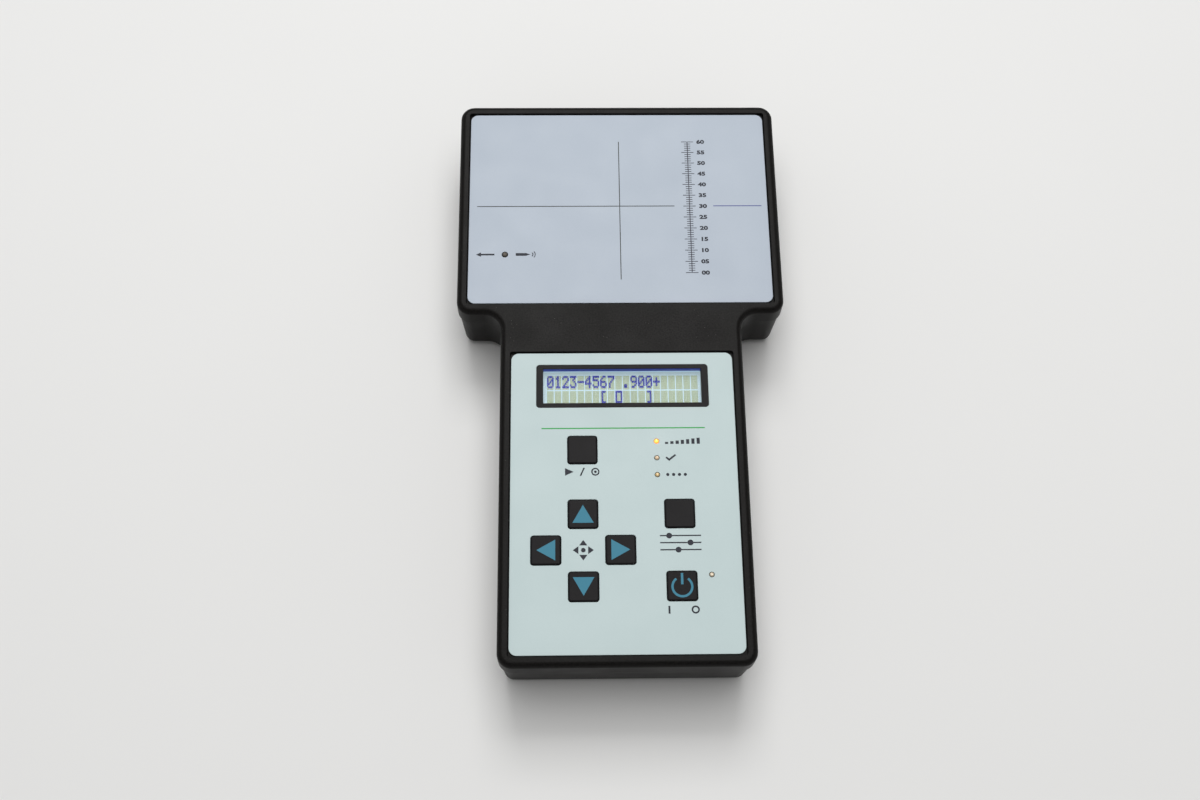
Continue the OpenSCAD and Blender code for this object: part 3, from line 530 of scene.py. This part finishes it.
def cell_finish():
    """A wrapped cell: a dark jacket with a bare steel band at each end of its length."""
    material, shader, nodes, links = start_finish("cell jacket", 0.28, Metallic=0.6)
    place = nodes.new("ShaderNodeSeparateXYZ")
    links.new(nodes.new("ShaderNodeTexCoord").outputs["Object"], place.inputs[0])
    middle = sum(cell.y for cell in cells) / len(cells)
    from_middle = math_node(nodes, links, "SUBTRACT", place.outputs["Y"], middle * MM)
    away = math_node(nodes, links, "ABSOLUTE", from_middle, 0)
    band = math_node(nodes, links, "GREATER_THAN", away, JACKET_HALF * MM)
    skin = use_group(nodes, moulded_grain, Grain_size_in_mm=1.0, Patch_size_in_mm=6.0)
    jacket = mix_colours(nodes, links, skin.outputs["Patches"], (0.03, 0.045, 0.075), (0.04, 0.055, 0.085))
    links.new(mix_colours(nodes, links, band, jacket, BAND_TONE), shader.inputs["Base Color"])
    vary_shine(nodes, links, skin.outputs["Patches"], 0.24, 0.32, shader)
    return material


def floor_finish():
    """Pale, plain table top."""
    material, shader, nodes, links = start_finish("pale table", 0.6, Specular_IOR_Level=0.2)
    skin = use_group(nodes, moulded_grain, Grain_size_in_mm=3.0, Patch_size_in_mm=160.0)
    tone = mix_colours(nodes, links, skin.outputs["Patches"], (0.80, 0.80, 0.80), (0.82, 0.82, 0.82))
    links.new(tone, shader.inputs["Base Color"])
    return material


# One finish for each of the record's material slots
finish = {
    "case_plastic": moulded(
        "satin black case",
        (0.0020, 0.0017, 0.0016),
        (0.0105, 0.0096, 0.0090),
        0.42,
        grain=0.6,
        relief=0.02,
        dust=0.2,
        Specular_IOR_Level=0.09,
    ),
    "plate_laminate": sheet_finish("pale blue-grey plate", (0.410, 0.465, 0.545), (0.440, 0.497, 0.578), 0.5),
    "overlay_film": sheet_finish("pale green-blue film", (0.495, 0.600, 0.610), (0.525, 0.630, 0.640), 0.5),
    "bezel_plastic": moulded(
        "black display frame",
        (0.011, 0.010, 0.011),
        (0.016, 0.015, 0.016),
        0.45,
        grain=0.3,
        relief=0.01,
        Specular_IOR_Level=0.1,
    ),
    "clear_window": clear_finish("clear window", (0.97, 0.985, 0.99)),
    "display_metal": moulded(
        "black display metal", (0.010, 0.010, 0.012), (0.014, 0.014, 0.016), 0.4, grain=0.5, relief=0.01
    ),
    "display_glass": ink_finish("pale lit glass", (0.33, 0.42, 0.46), (0.36, 0.45, 0.49), 0.85),
    "white_diffuser": moulded(
        "white diffuser", (0.80, 0.83, 0.86), (0.84, 0.86, 0.88), 0.5, grain=0.5, relief=0.01
    ),
    "circuit_board": board_finish(),
    "key_plastic": moulded(
        "dark key caps",
        (0.009, 0.008, 0.009),
        (0.014, 0.013, 0.014),
        0.4,
        grain=0.25,
        relief=0.02,
        dust=0.1,
        Specular_IOR_Level=0.08,
    ),
    "plunger_plastic": moulded("dull red plungers", (0.28, 0.045, 0.03), (0.33, 0.055, 0.04), 0.4),
    "chip_plastic": moulded(
        "black chips", (0.012, 0.012, 0.013), (0.018, 0.018, 0.019), 0.5, grain=0.25, relief=0.02
    ),
    # Unlit lenses: a painted highlight in the middle and painted shade at the rim
    "lamp_lens": lamp_finish("cream lamp lens", lamp_place["middle"], (0.86, 0.66, 0.44), (0.05, 0.04, 0.03)),
    "lamp_smoked": lamp_finish(
        "smoked lamp lens", wand_lamp, (0.13, 0.115, 0.10), (0.022, 0.020, 0.018), gloss=0.2
    ),
    "spool_plastic": moulded("cream mouldings", (0.62, 0.57, 0.47), (0.68, 0.63, 0.52), 0.45),
    "coil_copper": wound_finish(
        "enamelled winding", (0.62, 0.25, 0.09), (0.22, 0.07, 0.03), 0.3, 0.9, pitch=0.4, axis="Z"
    ),
    "ribbon_vinyl": wound_finish(
        "flat cable", (0.40, 0.42, 0.45), (0.20, 0.21, 0.23), 0.5, 0.0, pitch=1.27, axis="X"
    ),
    "socket_plastic": moulded(
        "black sockets", (0.010, 0.010, 0.011), (0.014, 0.014, 0.015), 0.4, grain=0.3, relief=0.01
    ),
    "plated_metal": metal("bright plating", (0.66, 0.66, 0.68), (0.58, 0.58, 0.60), 0.2),
    "cell_jacket": cell_finish(),
    "lead_vinyl": moulded("red lead", (0.35, 0.02, 0.015), (0.40, 0.03, 0.02), 0.45),
    "screw_steel": metal("zinc-plated screws", (0.46, 0.46, 0.48), (0.38, 0.38, 0.40), 0.32),
    "foot_rubber": moulded(
        "black rubber feet", (0.016, 0.016, 0.016), (0.026, 0.025, 0.025), 0.8, grain=0.5, relief=0.05
    ),
}
# Lamps that differ from their slot's finish
own_finish = {
    "lamp_upper": lamp_finish(
        "amber lamp, lit", lamp_place["upper"], (1.0, 0.70, 0.12), (1.0, 0.24, 0.01), glow=0.8
    ),
    # Unlit lenses whose own tones carry a painted highlight in the middle and painted shade at the rim
    "lamp_lower": lamp_finish("gold lamp lens", lamp_place["lower"], (0.86, 0.62, 0.30), (0.05, 0.04, 0.03)),
    "lamp_power": lamp_finish("pale lamp lens", lamp_place["power"], (0.84, 0.70, 0.52), (0.05, 0.04, 0.03)),
}
dark_ink = ink_finish("blue-black ink", (0.018, 0.020, 0.030), (0.026, 0.028, 0.040))
line_ink = ink_finish("dark line ink", (0.030, 0.030, 0.045), (0.045, 0.045, 0.065))
grey_ink = ink_finish("grey line ink", (0.036, 0.040, 0.040), (0.050, 0.055, 0.055))
violet_ink = ink_finish("violet line ink", (0.060, 0.065, 0.260), (0.080, 0.085, 0.300))
rule_ink = ink_finish("green rule ink", (0.030, 0.360, 0.060), (0.045, 0.400, 0.085))
key_ink = ink_finish("teal key ink", (0.040, 0.205, 0.300), (0.050, 0.225, 0.325))


# ---- The frame's own parts in their finishes ----

# Width of the small rounding along a part's edges
EDGES = {
    "case_plastic": 0.22,
    "plate_laminate": 0.10,
    "overlay_film": 0.08,
    "bezel_plastic": 0.12,
    "clear_window": 0.05,
    "display_metal": 0.10,
    "key_plastic": 0.12,
    "chip_plastic": 0.10,
    "spool_plastic": 0.12,
    "socket_plastic": 0.15,
    "plated_metal": 0.08,
    "screw_steel": 0.08,
    "ribbon_vinyl": 0.10,
}


def dress_frame():
    """Gives each node its slot's finish and soft edges."""
    slots = {row["node"]: row["material_slot"] for row in frame["record"]["subparts"]}
    for name, node in frame["nodes"].items():
        slot = slots[name]
        node.data.materials.clear()
        node.data.materials.append(own_finish.get(name, finish[slot]))
        soften(node, EDGES.get(slot, 0))


dress_frame()


# ---- Prints on the sensor plate ----

RULER_X = 28.7
RULER_ZERO_Y = 39.84
RULER_STEPS = 60
NUMBER_EVERY = 5
LONG_TICK = 2.5
SHORT_TICK = 1.27
TICK_WIDTH = 0.28
SPINE_WIDTH = 0.32
NUMBER_X = 34.1
NUMBER_HEIGHT = 1.62
NUMBER_SPREAD = 1.35
NUMBER_SWELL = 0.11

# The height of a number as a share of its type's size
NUMBER_SHARE = 0.69


def ruler_marks():
    """A millimetre ruler: its spine, a short tick at each millimetre and a long one at each fifth."""
    top = RULER_ZERO_Y + RULER_STEPS
    marks = [bar_at(RULER_X, (RULER_ZERO_Y + top) / 2, SPINE_WIDTH, RULER_STEPS)]
    for step in range(RULER_STEPS + 1):
        reach = SHORT_TICK if step % NUMBER_EVERY else LONG_TICK
        y = RULER_ZERO_Y + step
        for side in (-1, 1):
            ends = sorted((RULER_X + side * SPINE_WIDTH / 2, RULER_X + side * reach))
            marks.append(bar(ends[0], y - TICK_WIDTH / 2, ends[1], y + TICK_WIDTH / 2))
    return marks


def number_mesh(text, x, y, height, bottom):
    """The outline of a number as a thin printed mesh, wide and bold, centred on a place."""
    outline = bpy.data.curves.new(f"number_{text}", "FONT")
    outline.body = text
    outline.size = height * MM / NUMBER_SHARE
    outline.offset = NUMBER_SWELL * MM
    outline.extrude = (INK + BITE) / 2 * MM
    outline.align_x = "CENTER"
    outline.resolution_u = 3
    holder = bpy.data.objects.new(outline.name, outline)
    mesh = bpy.data.meshes.new_from_object(holder)
    bpy.data.objects.remove(holder)
    bpy.data.curves.remove(outline)
    middle = Vector((x, y - height / 2, bottom + (INK + BITE) / 2)) * MM
    mesh.transform(Matrix.Translation(middle) @ Matrix.Diagonal((NUMBER_SPREAD, 1, 1, 1)))
    return mesh


def ruler_numbers():
    """Numbers beside each long tick, as one mesh."""
    joined = bmesh.new()
    for step in range(0, RULER_STEPS + 1, NUMBER_EVERY):
        mesh = number_mesh(f"{step:02d}", NUMBER_X, RULER_ZERO_Y + step, NUMBER_HEIGHT, plate.z1 - BITE)
        joined.from_mesh(mesh)
        bpy.data.meshes.remove(mesh)
    made = bpy.data.meshes.new("ruler_numbers")
    joined.to_mesh(made)
    joined.free()
    return made


CROSS_WIDTH = 0.34
CROSS_X = 0.4
CROSS_Y = plate.y + 0.15

# Ends of the line across, of its rest beyond the ruler, and of the line along
ACROSS_ENDS = (-57.14, 22.55)
BEYOND_ENDS = (38.28, 57.86)
ALONG_ENDS = (36.96, 99.93)


def crosshair():
    """Two long thin lines that cross near the plate's middle; the one across stops short of the ruler."""
    half = CROSS_WIDTH / 2
    return [
        bar(ACROSS_ENDS[0], CROSS_Y - half, ACROSS_ENDS[1], CROSS_Y + half),
        bar(CROSS_X - half, ALONG_ENDS[0], CROSS_X + half, CROSS_Y - half),
        bar(CROSS_X - half, CROSS_Y + half, CROSS_X + half, ALONG_ENDS[1]),
    ]


def crosshair_end():
    """The rest of the line across, beyond the ruler's numbers."""
    half = CROSS_WIDTH / 2
    return [bar(BEYOND_ENDS[0], CROSS_Y - half, BEYOND_ENDS[1], CROSS_Y + half)]


def socket_arrow():
    """A long thin arrow that points at the wand socket."""
    tip, tail, head = -57.2, -49.9, 1.95
    half_head, half_shaft = 0.95, 0.36
    y = wand_lamp.y
    return [
        [(tip, y), (tip + head, y - half_head), (tip + head, y + half_head)],
        bar(tip + head, y - half_shaft, tail, y + half_shaft),
    ]


def wand_sign():
    """A plain probe with its tip to the right, and two waves before the tip."""
    tail, shoulder, tip, half = -41.4, -37.4, -35.6, 0.6
    y = wand_lamp.y
    probe = [(tail, y - half), (shoulder, y - half), (tip, y), (shoulder, y + half), (tail, y + half)]
    return [probe] + ring(tip, y, 1.2, 0.85, -50, 50, 8) + ring(tip, y, 2.1, 1.75, -42, 42, 10)


def print_plate():
    """Every print on the sensor plate."""
    print_on("crosshair", crosshair(), plate.z1, grey_ink)
    print_on("crosshair_end", crosshair_end(), plate.z1, violet_ink)
    print_on("wand_sign", wand_sign(), plate.z1, dark_ink)
    print_on("ruler", ruler_marks(), plate.z1, line_ink)
    print_on("socket_arrow", socket_arrow(), plate.z1, dark_ink)
    piece("ruler_numbers", ruler_numbers(), dark_ink)


print_plate()


# ---- Prints on the keypad overlay: plain signs in place of words ----

# How far below its key's edge each sign's middle lies
RUN_SIGN_DROP = 2.4
MODE_SIGN_DROP = 4.9
POWER_SIGN_DROP = 2.5

# From a status lamp's edge to its sign
LAMP_SIGN_GAP = 1.9

# The green rule's inset from the display frame's sides, and its two edges below the frame
RULE_INSET = 2.0
RULE_FAR = 8.3
RULE_NEAR = 8.75


def run_sign(x, y):
    """A start triangle, a slanted stroke and a target for setting to zero."""
    triangle = [(x - 6.6, y - 1.5), (x - 3.4, y), (x - 6.6, y + 1.5)]
    stroke = [(x - 1.1, y - 1.6), (x - 0.5, y - 1.6), (x + 0.9, y + 1.6), (x + 0.3, y + 1.6)]
    target = ring(x + 4.8, y, 1.55, 1.05) + [disc(x + 4.8, y, 0.5)]
    return [triangle, stroke] + target


def four_way_sign(x, y):
    """Four small arrowheads about a dot."""
    head = [(-1.5, 1.8), (1.5, 1.8), (0, 3.9)]
    return [turned(head, turn, x, y) for turn in range(4)] + [disc(x, y, 0.85)]


def sliders_sign(x, y):
    """Three setting sliders, one above the other, each a line with a knob on it."""
    reach, half, radius = 7.6, 0.24, 1.1
    shapes = []
    for row, knob in ((2.7, -4.2), (0, 3.6), (-2.7, -0.9)):
        shapes.append(bar(x - reach, y + row - half, x + knob - radius, y + row + half))
        shapes.append(bar(x + knob + radius, y + row - half, x + reach, y + row + half))
        shapes.append(disc(x + knob, y + row, radius))
    return shapes


def on_off_sign(x, y):
    """A bar for on and a ring for off."""
    return [bar(x - 5.3, y - 1.45, x - 4.6, y + 1.45)] + ring(x + 4.6, y, 1.5, 0.9)


def lamp_signs():
    """Beside the status lamps: a rising level, a tick, and a row of waiting dots."""
    x = lamp_place["upper"].x1 + LAMP_SIGN_GAP
    upper, middle, lower = (lamp_place[name].y for name in ("upper", "middle", "lower"))
    level = [bar(x + i * 2, upper - 1.2, x + i * 2 + 1.2, upper - 0.4 + i * 0.27) for i in range(7)]
    low, inner = (x + 1.35, middle - 1.3), (x + 1.35, middle - 0.35)
    short_arm = [(x, middle), low, inner, (x + 0.45, middle + 0.45)]
    long_arm = [low, (x + 4.1, middle + 0.95), (x + 3.6, middle + 1.4), inner]
    waiting = [disc(x + 0.65 + i * 2.2, lower, 0.6) for i in range(4)]
    return level + [short_arm, long_arm] + waiting


def print_overlay():
    """Every print on the keypad overlay."""
    below_key = key_place["run"].width / 2
    run, mode, power = (key_place[name] for name in ("run", "mode", "power"))
    pad_x, pad_y = key_place["up"].x, key_place["left"].y
    signs = run_sign(run.x, run.y - below_key - RUN_SIGN_DROP)
    signs += four_way_sign(pad_x, pad_y)
    signs += sliders_sign(mode.x, mode.y - below_key - MODE_SIGN_DROP)
    signs += on_off_sign(power.x, power.y - below_key - POWER_SIGN_DROP)
    signs += lamp_signs()
    print_on("keypad_signs", signs, overlay.z1, dark_ink)
    rule = bar(
        bezel.x0 + RULE_INSET, bezel.y0 - RULE_NEAR, bezel.x1 - RULE_INSET, bezel.y0 - RULE_FAR
    )
    print_on("green_rule", [rule], overlay.z1, rule_ink)


print_overlay()


# ---- Signs on the keys ----

ARROW_HALF_BASE = 3.95
ARROW_HEIGHT = 6.95
POWER_RING = 4.05
POWER_STROKE = 0.85
POWER_BAR = 4.2

# How far below the key's middle the ring lies, and how far above it the bar
POWER_RING_DROP = 0.35
POWER_BAR_RISE = 2.6

# Half the ring's gap, in degrees
POWER_GAP = 36


def arrow_sign(quarter_turns, x, y):
    """A solid triangle that points up before it is turned."""
    base = -ARROW_HEIGHT / 2
    points = [(-ARROW_HALF_BASE, base), (ARROW_HALF_BASE, base), (0, base + ARROW_HEIGHT)]
    return [turned(points, quarter_turns, x, y)]


def power_sign(x, y):
    """An open ring with a short bar in its gap."""
    middle = y - POWER_RING_DROP
    stroke = ring(x, middle, POWER_RING, POWER_RING - POWER_STROKE, 90 + POWER_GAP, 450 - POWER_GAP)
    return stroke + [bar_at(x, y + POWER_BAR_RISE, POWER_STROKE * 1.05, POWER_BAR)]


def print_keys():
    """The signs on the keys; each moves with its own key."""
    quarter_turns = {"up": 0, "left": 1, "down": 2, "right": 3}
    for name, turns in quarter_turns.items():
        cap = key_place[name]
        sign = arrow_sign(turns, cap.x, cap.y)
        print_on(f"sign_{name}", sign, cap.z1, key_ink, f"{name}_key")
    cap = key_place["power"]
    print_on("sign_power", power_sign(cap.x, cap.y), cap.z1, key_ink, "power_key")


print_keys()


# ---- Display ----

COLUMNS = 20
ROWS = 2
DOT_COLUMNS = 5
DOT_ROWS = 8
CELL_PITCH_X = 2.94
CELL_PITCH_Y = 6.3
CELL_WIDTH = 2.5
CELL_HEIGHT = 5.75
TOP_ROW_Y = -5.45

# How far the cells lie to the right of the glass's middle
CELLS_SHIFT = 0.2

# What a clear dot falls short of its pitch, and what a dark one is over it
DOT_GAP = 0.07
DOT_SWELL = 0.14
RECESS_MARGIN_X = 2.7
RECESS_MARGIN_Y = 1.8

# The painted strip's thickness and its gap to the wall, its distance from the frame's foot and top, and the
# share of the frame's height at which its pale and blue parts meet. The strip stands on the recess's far
# wall: its blue upper part is a painted dark reflection, its pale lower part a painted glow
PAINTED_STRIP = 0.1
PAINTED_STRIP_GAP = 0.01
PAINTED_STRIP_FOOT = 0.02
PAINTED_STRIP_TOP = 0.25
PAINTED_STRIP_SPLIT = 0.28

# Which dots of a cell are dark, row by row from the top, for the characters that are shown
SHAPES = {
    "0": ("01110", "10001", "10011", "10101", "11001", "10001", "01110"),
    "1": ("00100", "01100", "00100", "00100", "00100", "00100", "01110"),
    "2": ("01110", "10001", "00001", "00010", "00100", "01000", "11111"),
    "3": ("11111", "00010", "00100", "00010", "00001", "10001", "01110"),
    "4": ("00010", "00110", "01010", "10010", "11111", "00010", "00010"),
    "5": ("11111", "10000", "11110", "00001", "00001", "10001", "01110"),
    "6": ("00110", "01000", "10000", "11110", "10001", "10001", "01110"),
    "7": ("11111", "00001", "00010", "00100", "01000", "01000", "01000"),
    "9": ("01110", "10001", "10001", "01111", "00001", "00010", "01100"),
    "-": ("00000", "00000", "00000", "11111", "00000", "00000", "00000"),
    ".": ("00000", "00000", "00000", "00000", "00000", "01100", "01100"),
    "+": ("00000", "00100", "00100", "11111", "00100", "00100", "00000"),
    "[": ("01110", "01000", "01000", "01000", "01000", "01000", "01110"),
    "]": ("01110", "00010", "00010", "00010", "00010", "00010", "01110"),
    "o": ("11111", "10001", "10001", "10001", "10001", "10001", "11111"),
}
SHOWN = ("0123-4567 .900+", "       [ o   ]")


def display_dots():
    """Every dot of the display as a flat shape, those that are clear and those that are dark."""
    clear, dark = [], []
    step_x, step_y = CELL_WIDTH / DOT_COLUMNS, CELL_HEIGHT / DOT_ROWS
    left = glass.x - (COLUMNS - 1) / 2 * CELL_PITCH_X - CELL_WIDTH / 2 + CELLS_SHIFT
    for row in range(ROWS):
        top = TOP_ROW_Y - row * CELL_PITCH_Y + CELL_HEIGHT / 2
        text = SHOWN[row].ljust(COLUMNS)
        for column in range(COLUMNS):
            pattern = SHAPES.get(text[column], ())
            for i in range(DOT_ROWS):
                for j in range(DOT_COLUMNS):
                    x = left + column * CELL_PITCH_X + (j + 0.5) * step_x
                    y = top - (i + 0.5) * step_y
                    if i < len(pattern) and pattern[i][j] == "1":
                        dark.append(bar_at(x, y, step_x + DOT_SWELL, step_y + DOT_SWELL))
                    else:
                        clear.append(bar_at(x, y, step_x - DOT_GAP, step_y - DOT_GAP))
    return clear, dark


def make_display():
    """The glass's cells and characters, and a strip on the recess's far wall that carries a painted dark
    reflection above a painted glow.
    """
    dot_clear = ink_finish("clear display dots", (0.255, 0.300, 0.185), (0.285, 0.330, 0.205), 0.65)
    dot_dark = ink_finish("dark display dots", (0.040, 0.050, 0.300), (0.048, 0.058, 0.330), 0.5)
    # Painted light: the strip's deep blue is a painted reflection and its pale blue a painted glow, both
    # glowing though neither is a lamp
    painted_dark_reflection = ink_finish("deep blue painted reflection", (0.018, 0.030, 0.160), (0.024, 0.040, 0.190), 0.9)
    painted_pale_glow = ink_finish("pale blue painted glow", (0.26, 0.38, 0.47), (0.29, 0.41, 0.50), 1.1)
    clear, dark = display_dots()
    print_on("display_cells", clear, glass.z1, dot_clear)
    print_on("display_characters", dark, glass.z1 + INK, dot_dark)
    far_y = bezel.y1 - RECESS_MARGIN_Y
    left, right = bezel.x0 + RECESS_MARGIN_X, bezel.x1 - RECESS_MARGIN_X
    painted_strip = bar(left, far_y - PAINTED_STRIP, right, far_y - PAINTED_STRIP_GAP)
    foot, middle, top = bezel.z0 + PAINTED_STRIP_FOOT, bezel.z0 + PAINTED_STRIP_SPLIT * bezel.height, bezel.z1 - PAINTED_STRIP_TOP
    piece("painted_glow_strip", prisms("painted_glow_strip", [painted_strip], foot, middle), painted_pale_glow)
    piece("painted_reflection_strip", prisms("painted_reflection_strip", [painted_strip], middle, top), painted_dark_reflection)


make_display()


# ---- Battery springs ----

SPRING_TURNS = 4.5
SPRING_WIRE = 0.36
SPRING_FOOT = 4.6
SPRING_TIP = 3.3
STEPS_A_TURN = 24

# The part of the first turn that lies flat on the contact plate
FLAT_TURNS = 0.8


def spring_path(x, z, foot_y, tip_y):
    """A coil that narrows from the contact plate to the cell, with a flat turn at its foot."""
    steps = int(SPRING_TURNS * STEPS_A_TURN)
    path = []
    for i in range(steps + 1):
        share = i / steps
        angle = 2 * math.pi * SPRING_TURNS * share
        radius = SPRING_FOOT + (SPRING_TIP - SPRING_FOOT) * share
        rise = max(0.0, (share * SPRING_TURNS - FLAT_TURNS) / (SPRING_TURNS - FLAT_TURNS))
        y = foot_y + (tip_y - foot_y) * rise
        path.append(Vector((x + radius * math.cos(angle), y, z + radius * math.sin(angle))) * MM)
    return path


def wire_mesh(name, paths, radius):
    """Round wire along each path."""
    line = bpy.data.curves.new(name, "CURVE")
    line.dimensions = "3D"
    line.bevel_depth = radius * MM
    line.bevel_resolution = 3
    line.use_fill_caps = True
    for path in paths:
        spline = line.splines.new("POLY")
        spline.points.add(len(path) - 1)
        for point, place in zip(spline.points, path):
            point.co = (*place, 1)
    holder = bpy.data.objects.new(name, line)
    mesh = bpy.data.meshes.new_from_object(holder)
    bpy.data.objects.remove(holder)
    bpy.data.curves.remove(line)
    mesh.name = name
    mesh.shade_smooth()
    return mesh


def make_springs():
    """One coiled spring at the flat end of each cell, where the frame has plain cones."""
    springs = Box("contact_springs")
    paths = []
    for i, cell in enumerate(cells):
        if i % 2 == 0:
            foot, tip = springs.y0 + SPRING_WIRE, cell.y0 - SPRING_WIRE
        else:
            foot, tip = springs.y1 - SPRING_WIRE, cell.y1 + SPRING_WIRE
        paths.append(spring_path(cell.x, cell.z, foot, tip))
    mesh = wire_mesh("coiled_springs", paths, SPRING_WIRE)
    made = piece("coiled_springs", mesh, finish["plated_metal"])
    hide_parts("contact_springs")


make_springs()


# ---- Table, light and camera ----

TABLE_HALF = 1500
TABLE_DROP = 0.04

# The camera's place, and how many degrees it looks down, is turned and is rolled
CAMERA_PLACE = (-20.27, -219.88, 554.8)
CAMERA_DOWN = 68.397
CAMERA_TURN = 3.229
CAMERA_ROLL = 2.661
CAMERA_LENS = 43.8

# The room's light near eye level and above, and the heights between which it changes
WALL_LIGHT = 0.7
ROOM_LIGHT = 0.23
WALL_LEVEL = 0.05
ROOM_LEVEL = 0.5
LIGHT_TONE = (1.0, 0.998, 0.985)
OVERHEAD_WATTS = 12.8
FAR_WATTS = 16.0


def make_table():
    """A wide table top, a hair below the feet."""
    half, level = TABLE_HALF * MM, -TABLE_DROP * MM
    mesh = bpy.data.meshes.new("table")
    corners = [(x, y, level) for x, y in bar(-half, -half, half, half)]
    mesh.from_pydata(corners, [], [(0, 1, 2, 3)])
    table = bpy.data.objects.new("table", mesh)
    bpy.context.scene.collection.objects.link(table)
    mesh.materials.append(floor_finish())


def soft_light(name, place, aim, width, length, watts):
    """A rectangular soft light that faces a point, all in metres."""
    lamp = bpy.data.lights.new(name, "AREA")
    lamp.shape = "RECTANGLE"
    lamp.size = width
    lamp.size_y = length
    lamp.energy = watts
    lamp.color = LIGHT_TONE
    light = bpy.data.objects.new(name, lamp)
    light.location = place
    light.rotation_euler = (Vector(aim) - Vector(place)).to_track_quat("-Z", "Y").to_euler()
    bpy.context.scene.collection.objects.link(light)


def make_lights():
    """A wide soft light overhead and one behind the tester, in a room that is palest at eye level."""
    world = bpy.data.worlds.new("studio")
    world.use_nodes = True
    nodes, links = world.node_tree.nodes, world.node_tree.links
    way = nodes.new("ShaderNodeSeparateXYZ")
    links.new(nodes.new("ShaderNodeTexCoord").outputs["Generated"], way.inputs[0])
    height = nodes.new("ShaderNodeMapRange")
    height.interpolation_type = "SMOOTHSTEP"
    height.inputs["From Min"].default_value = WALL_LEVEL
    height.inputs["From Max"].default_value = ROOM_LEVEL
    height.inputs["To Min"].default_value = WALL_LIGHT
    height.inputs["To Max"].default_value = ROOM_LIGHT
    links.new(math_node(nodes, links, "ABSOLUTE", way.outputs["Z"], 0), height.inputs["Value"])
    nodes["Background"].inputs["Color"].default_value = (*LIGHT_TONE, 1)
    links.new(height.outputs["Result"], nodes["Background"].inputs["Strength"])
    bpy.context.scene.world = world
    soft_light("overhead_light", (0, 0.25, 1.6), (0, 0.25, 0), width=1.3, length=1.2, watts=OVERHEAD_WATTS)
    soft_light("far_light", (0, 1.15, 1.65), (0, 0, 0), width=0.9, length=0.8, watts=FAR_WATTS)


def make_camera():
    """The camera at the photograph's angle."""
    down, turn, roll = (math.radians(a) for a in (CAMERA_DOWN, CAMERA_TURN, CAMERA_ROLL))
    ahead = Vector((math.sin(turn) * math.cos(down), math.cos(turn) * math.cos(down), -math.sin(down)))
    right = Vector((math.cos(turn), -math.sin(turn), 0))
    up = right.cross(ahead)
    tilted_right = right * math.cos(roll) + up * math.sin(roll)
    tilted_up = up * math.cos(roll) - right * math.sin(roll)
    lens = bpy.data.cameras.new("camera")
    lens.lens = CAMERA_LENS
    lens.sensor_width = 36
    camera = bpy.data.objects.new("camera", lens)
    axes = Matrix((tilted_right, tilted_up, -ahead)).transposed()
    camera.matrix_world = Matrix.Translation(Vector(CAMERA_PLACE) * MM) @ axes.to_4x4()
    bpy.context.scene.collection.objects.link(camera)
    bpy.context.scene.camera = camera


make_table()
make_lights()
make_camera()
bpy.context.scene.view_settings.view_transform = "Standard"
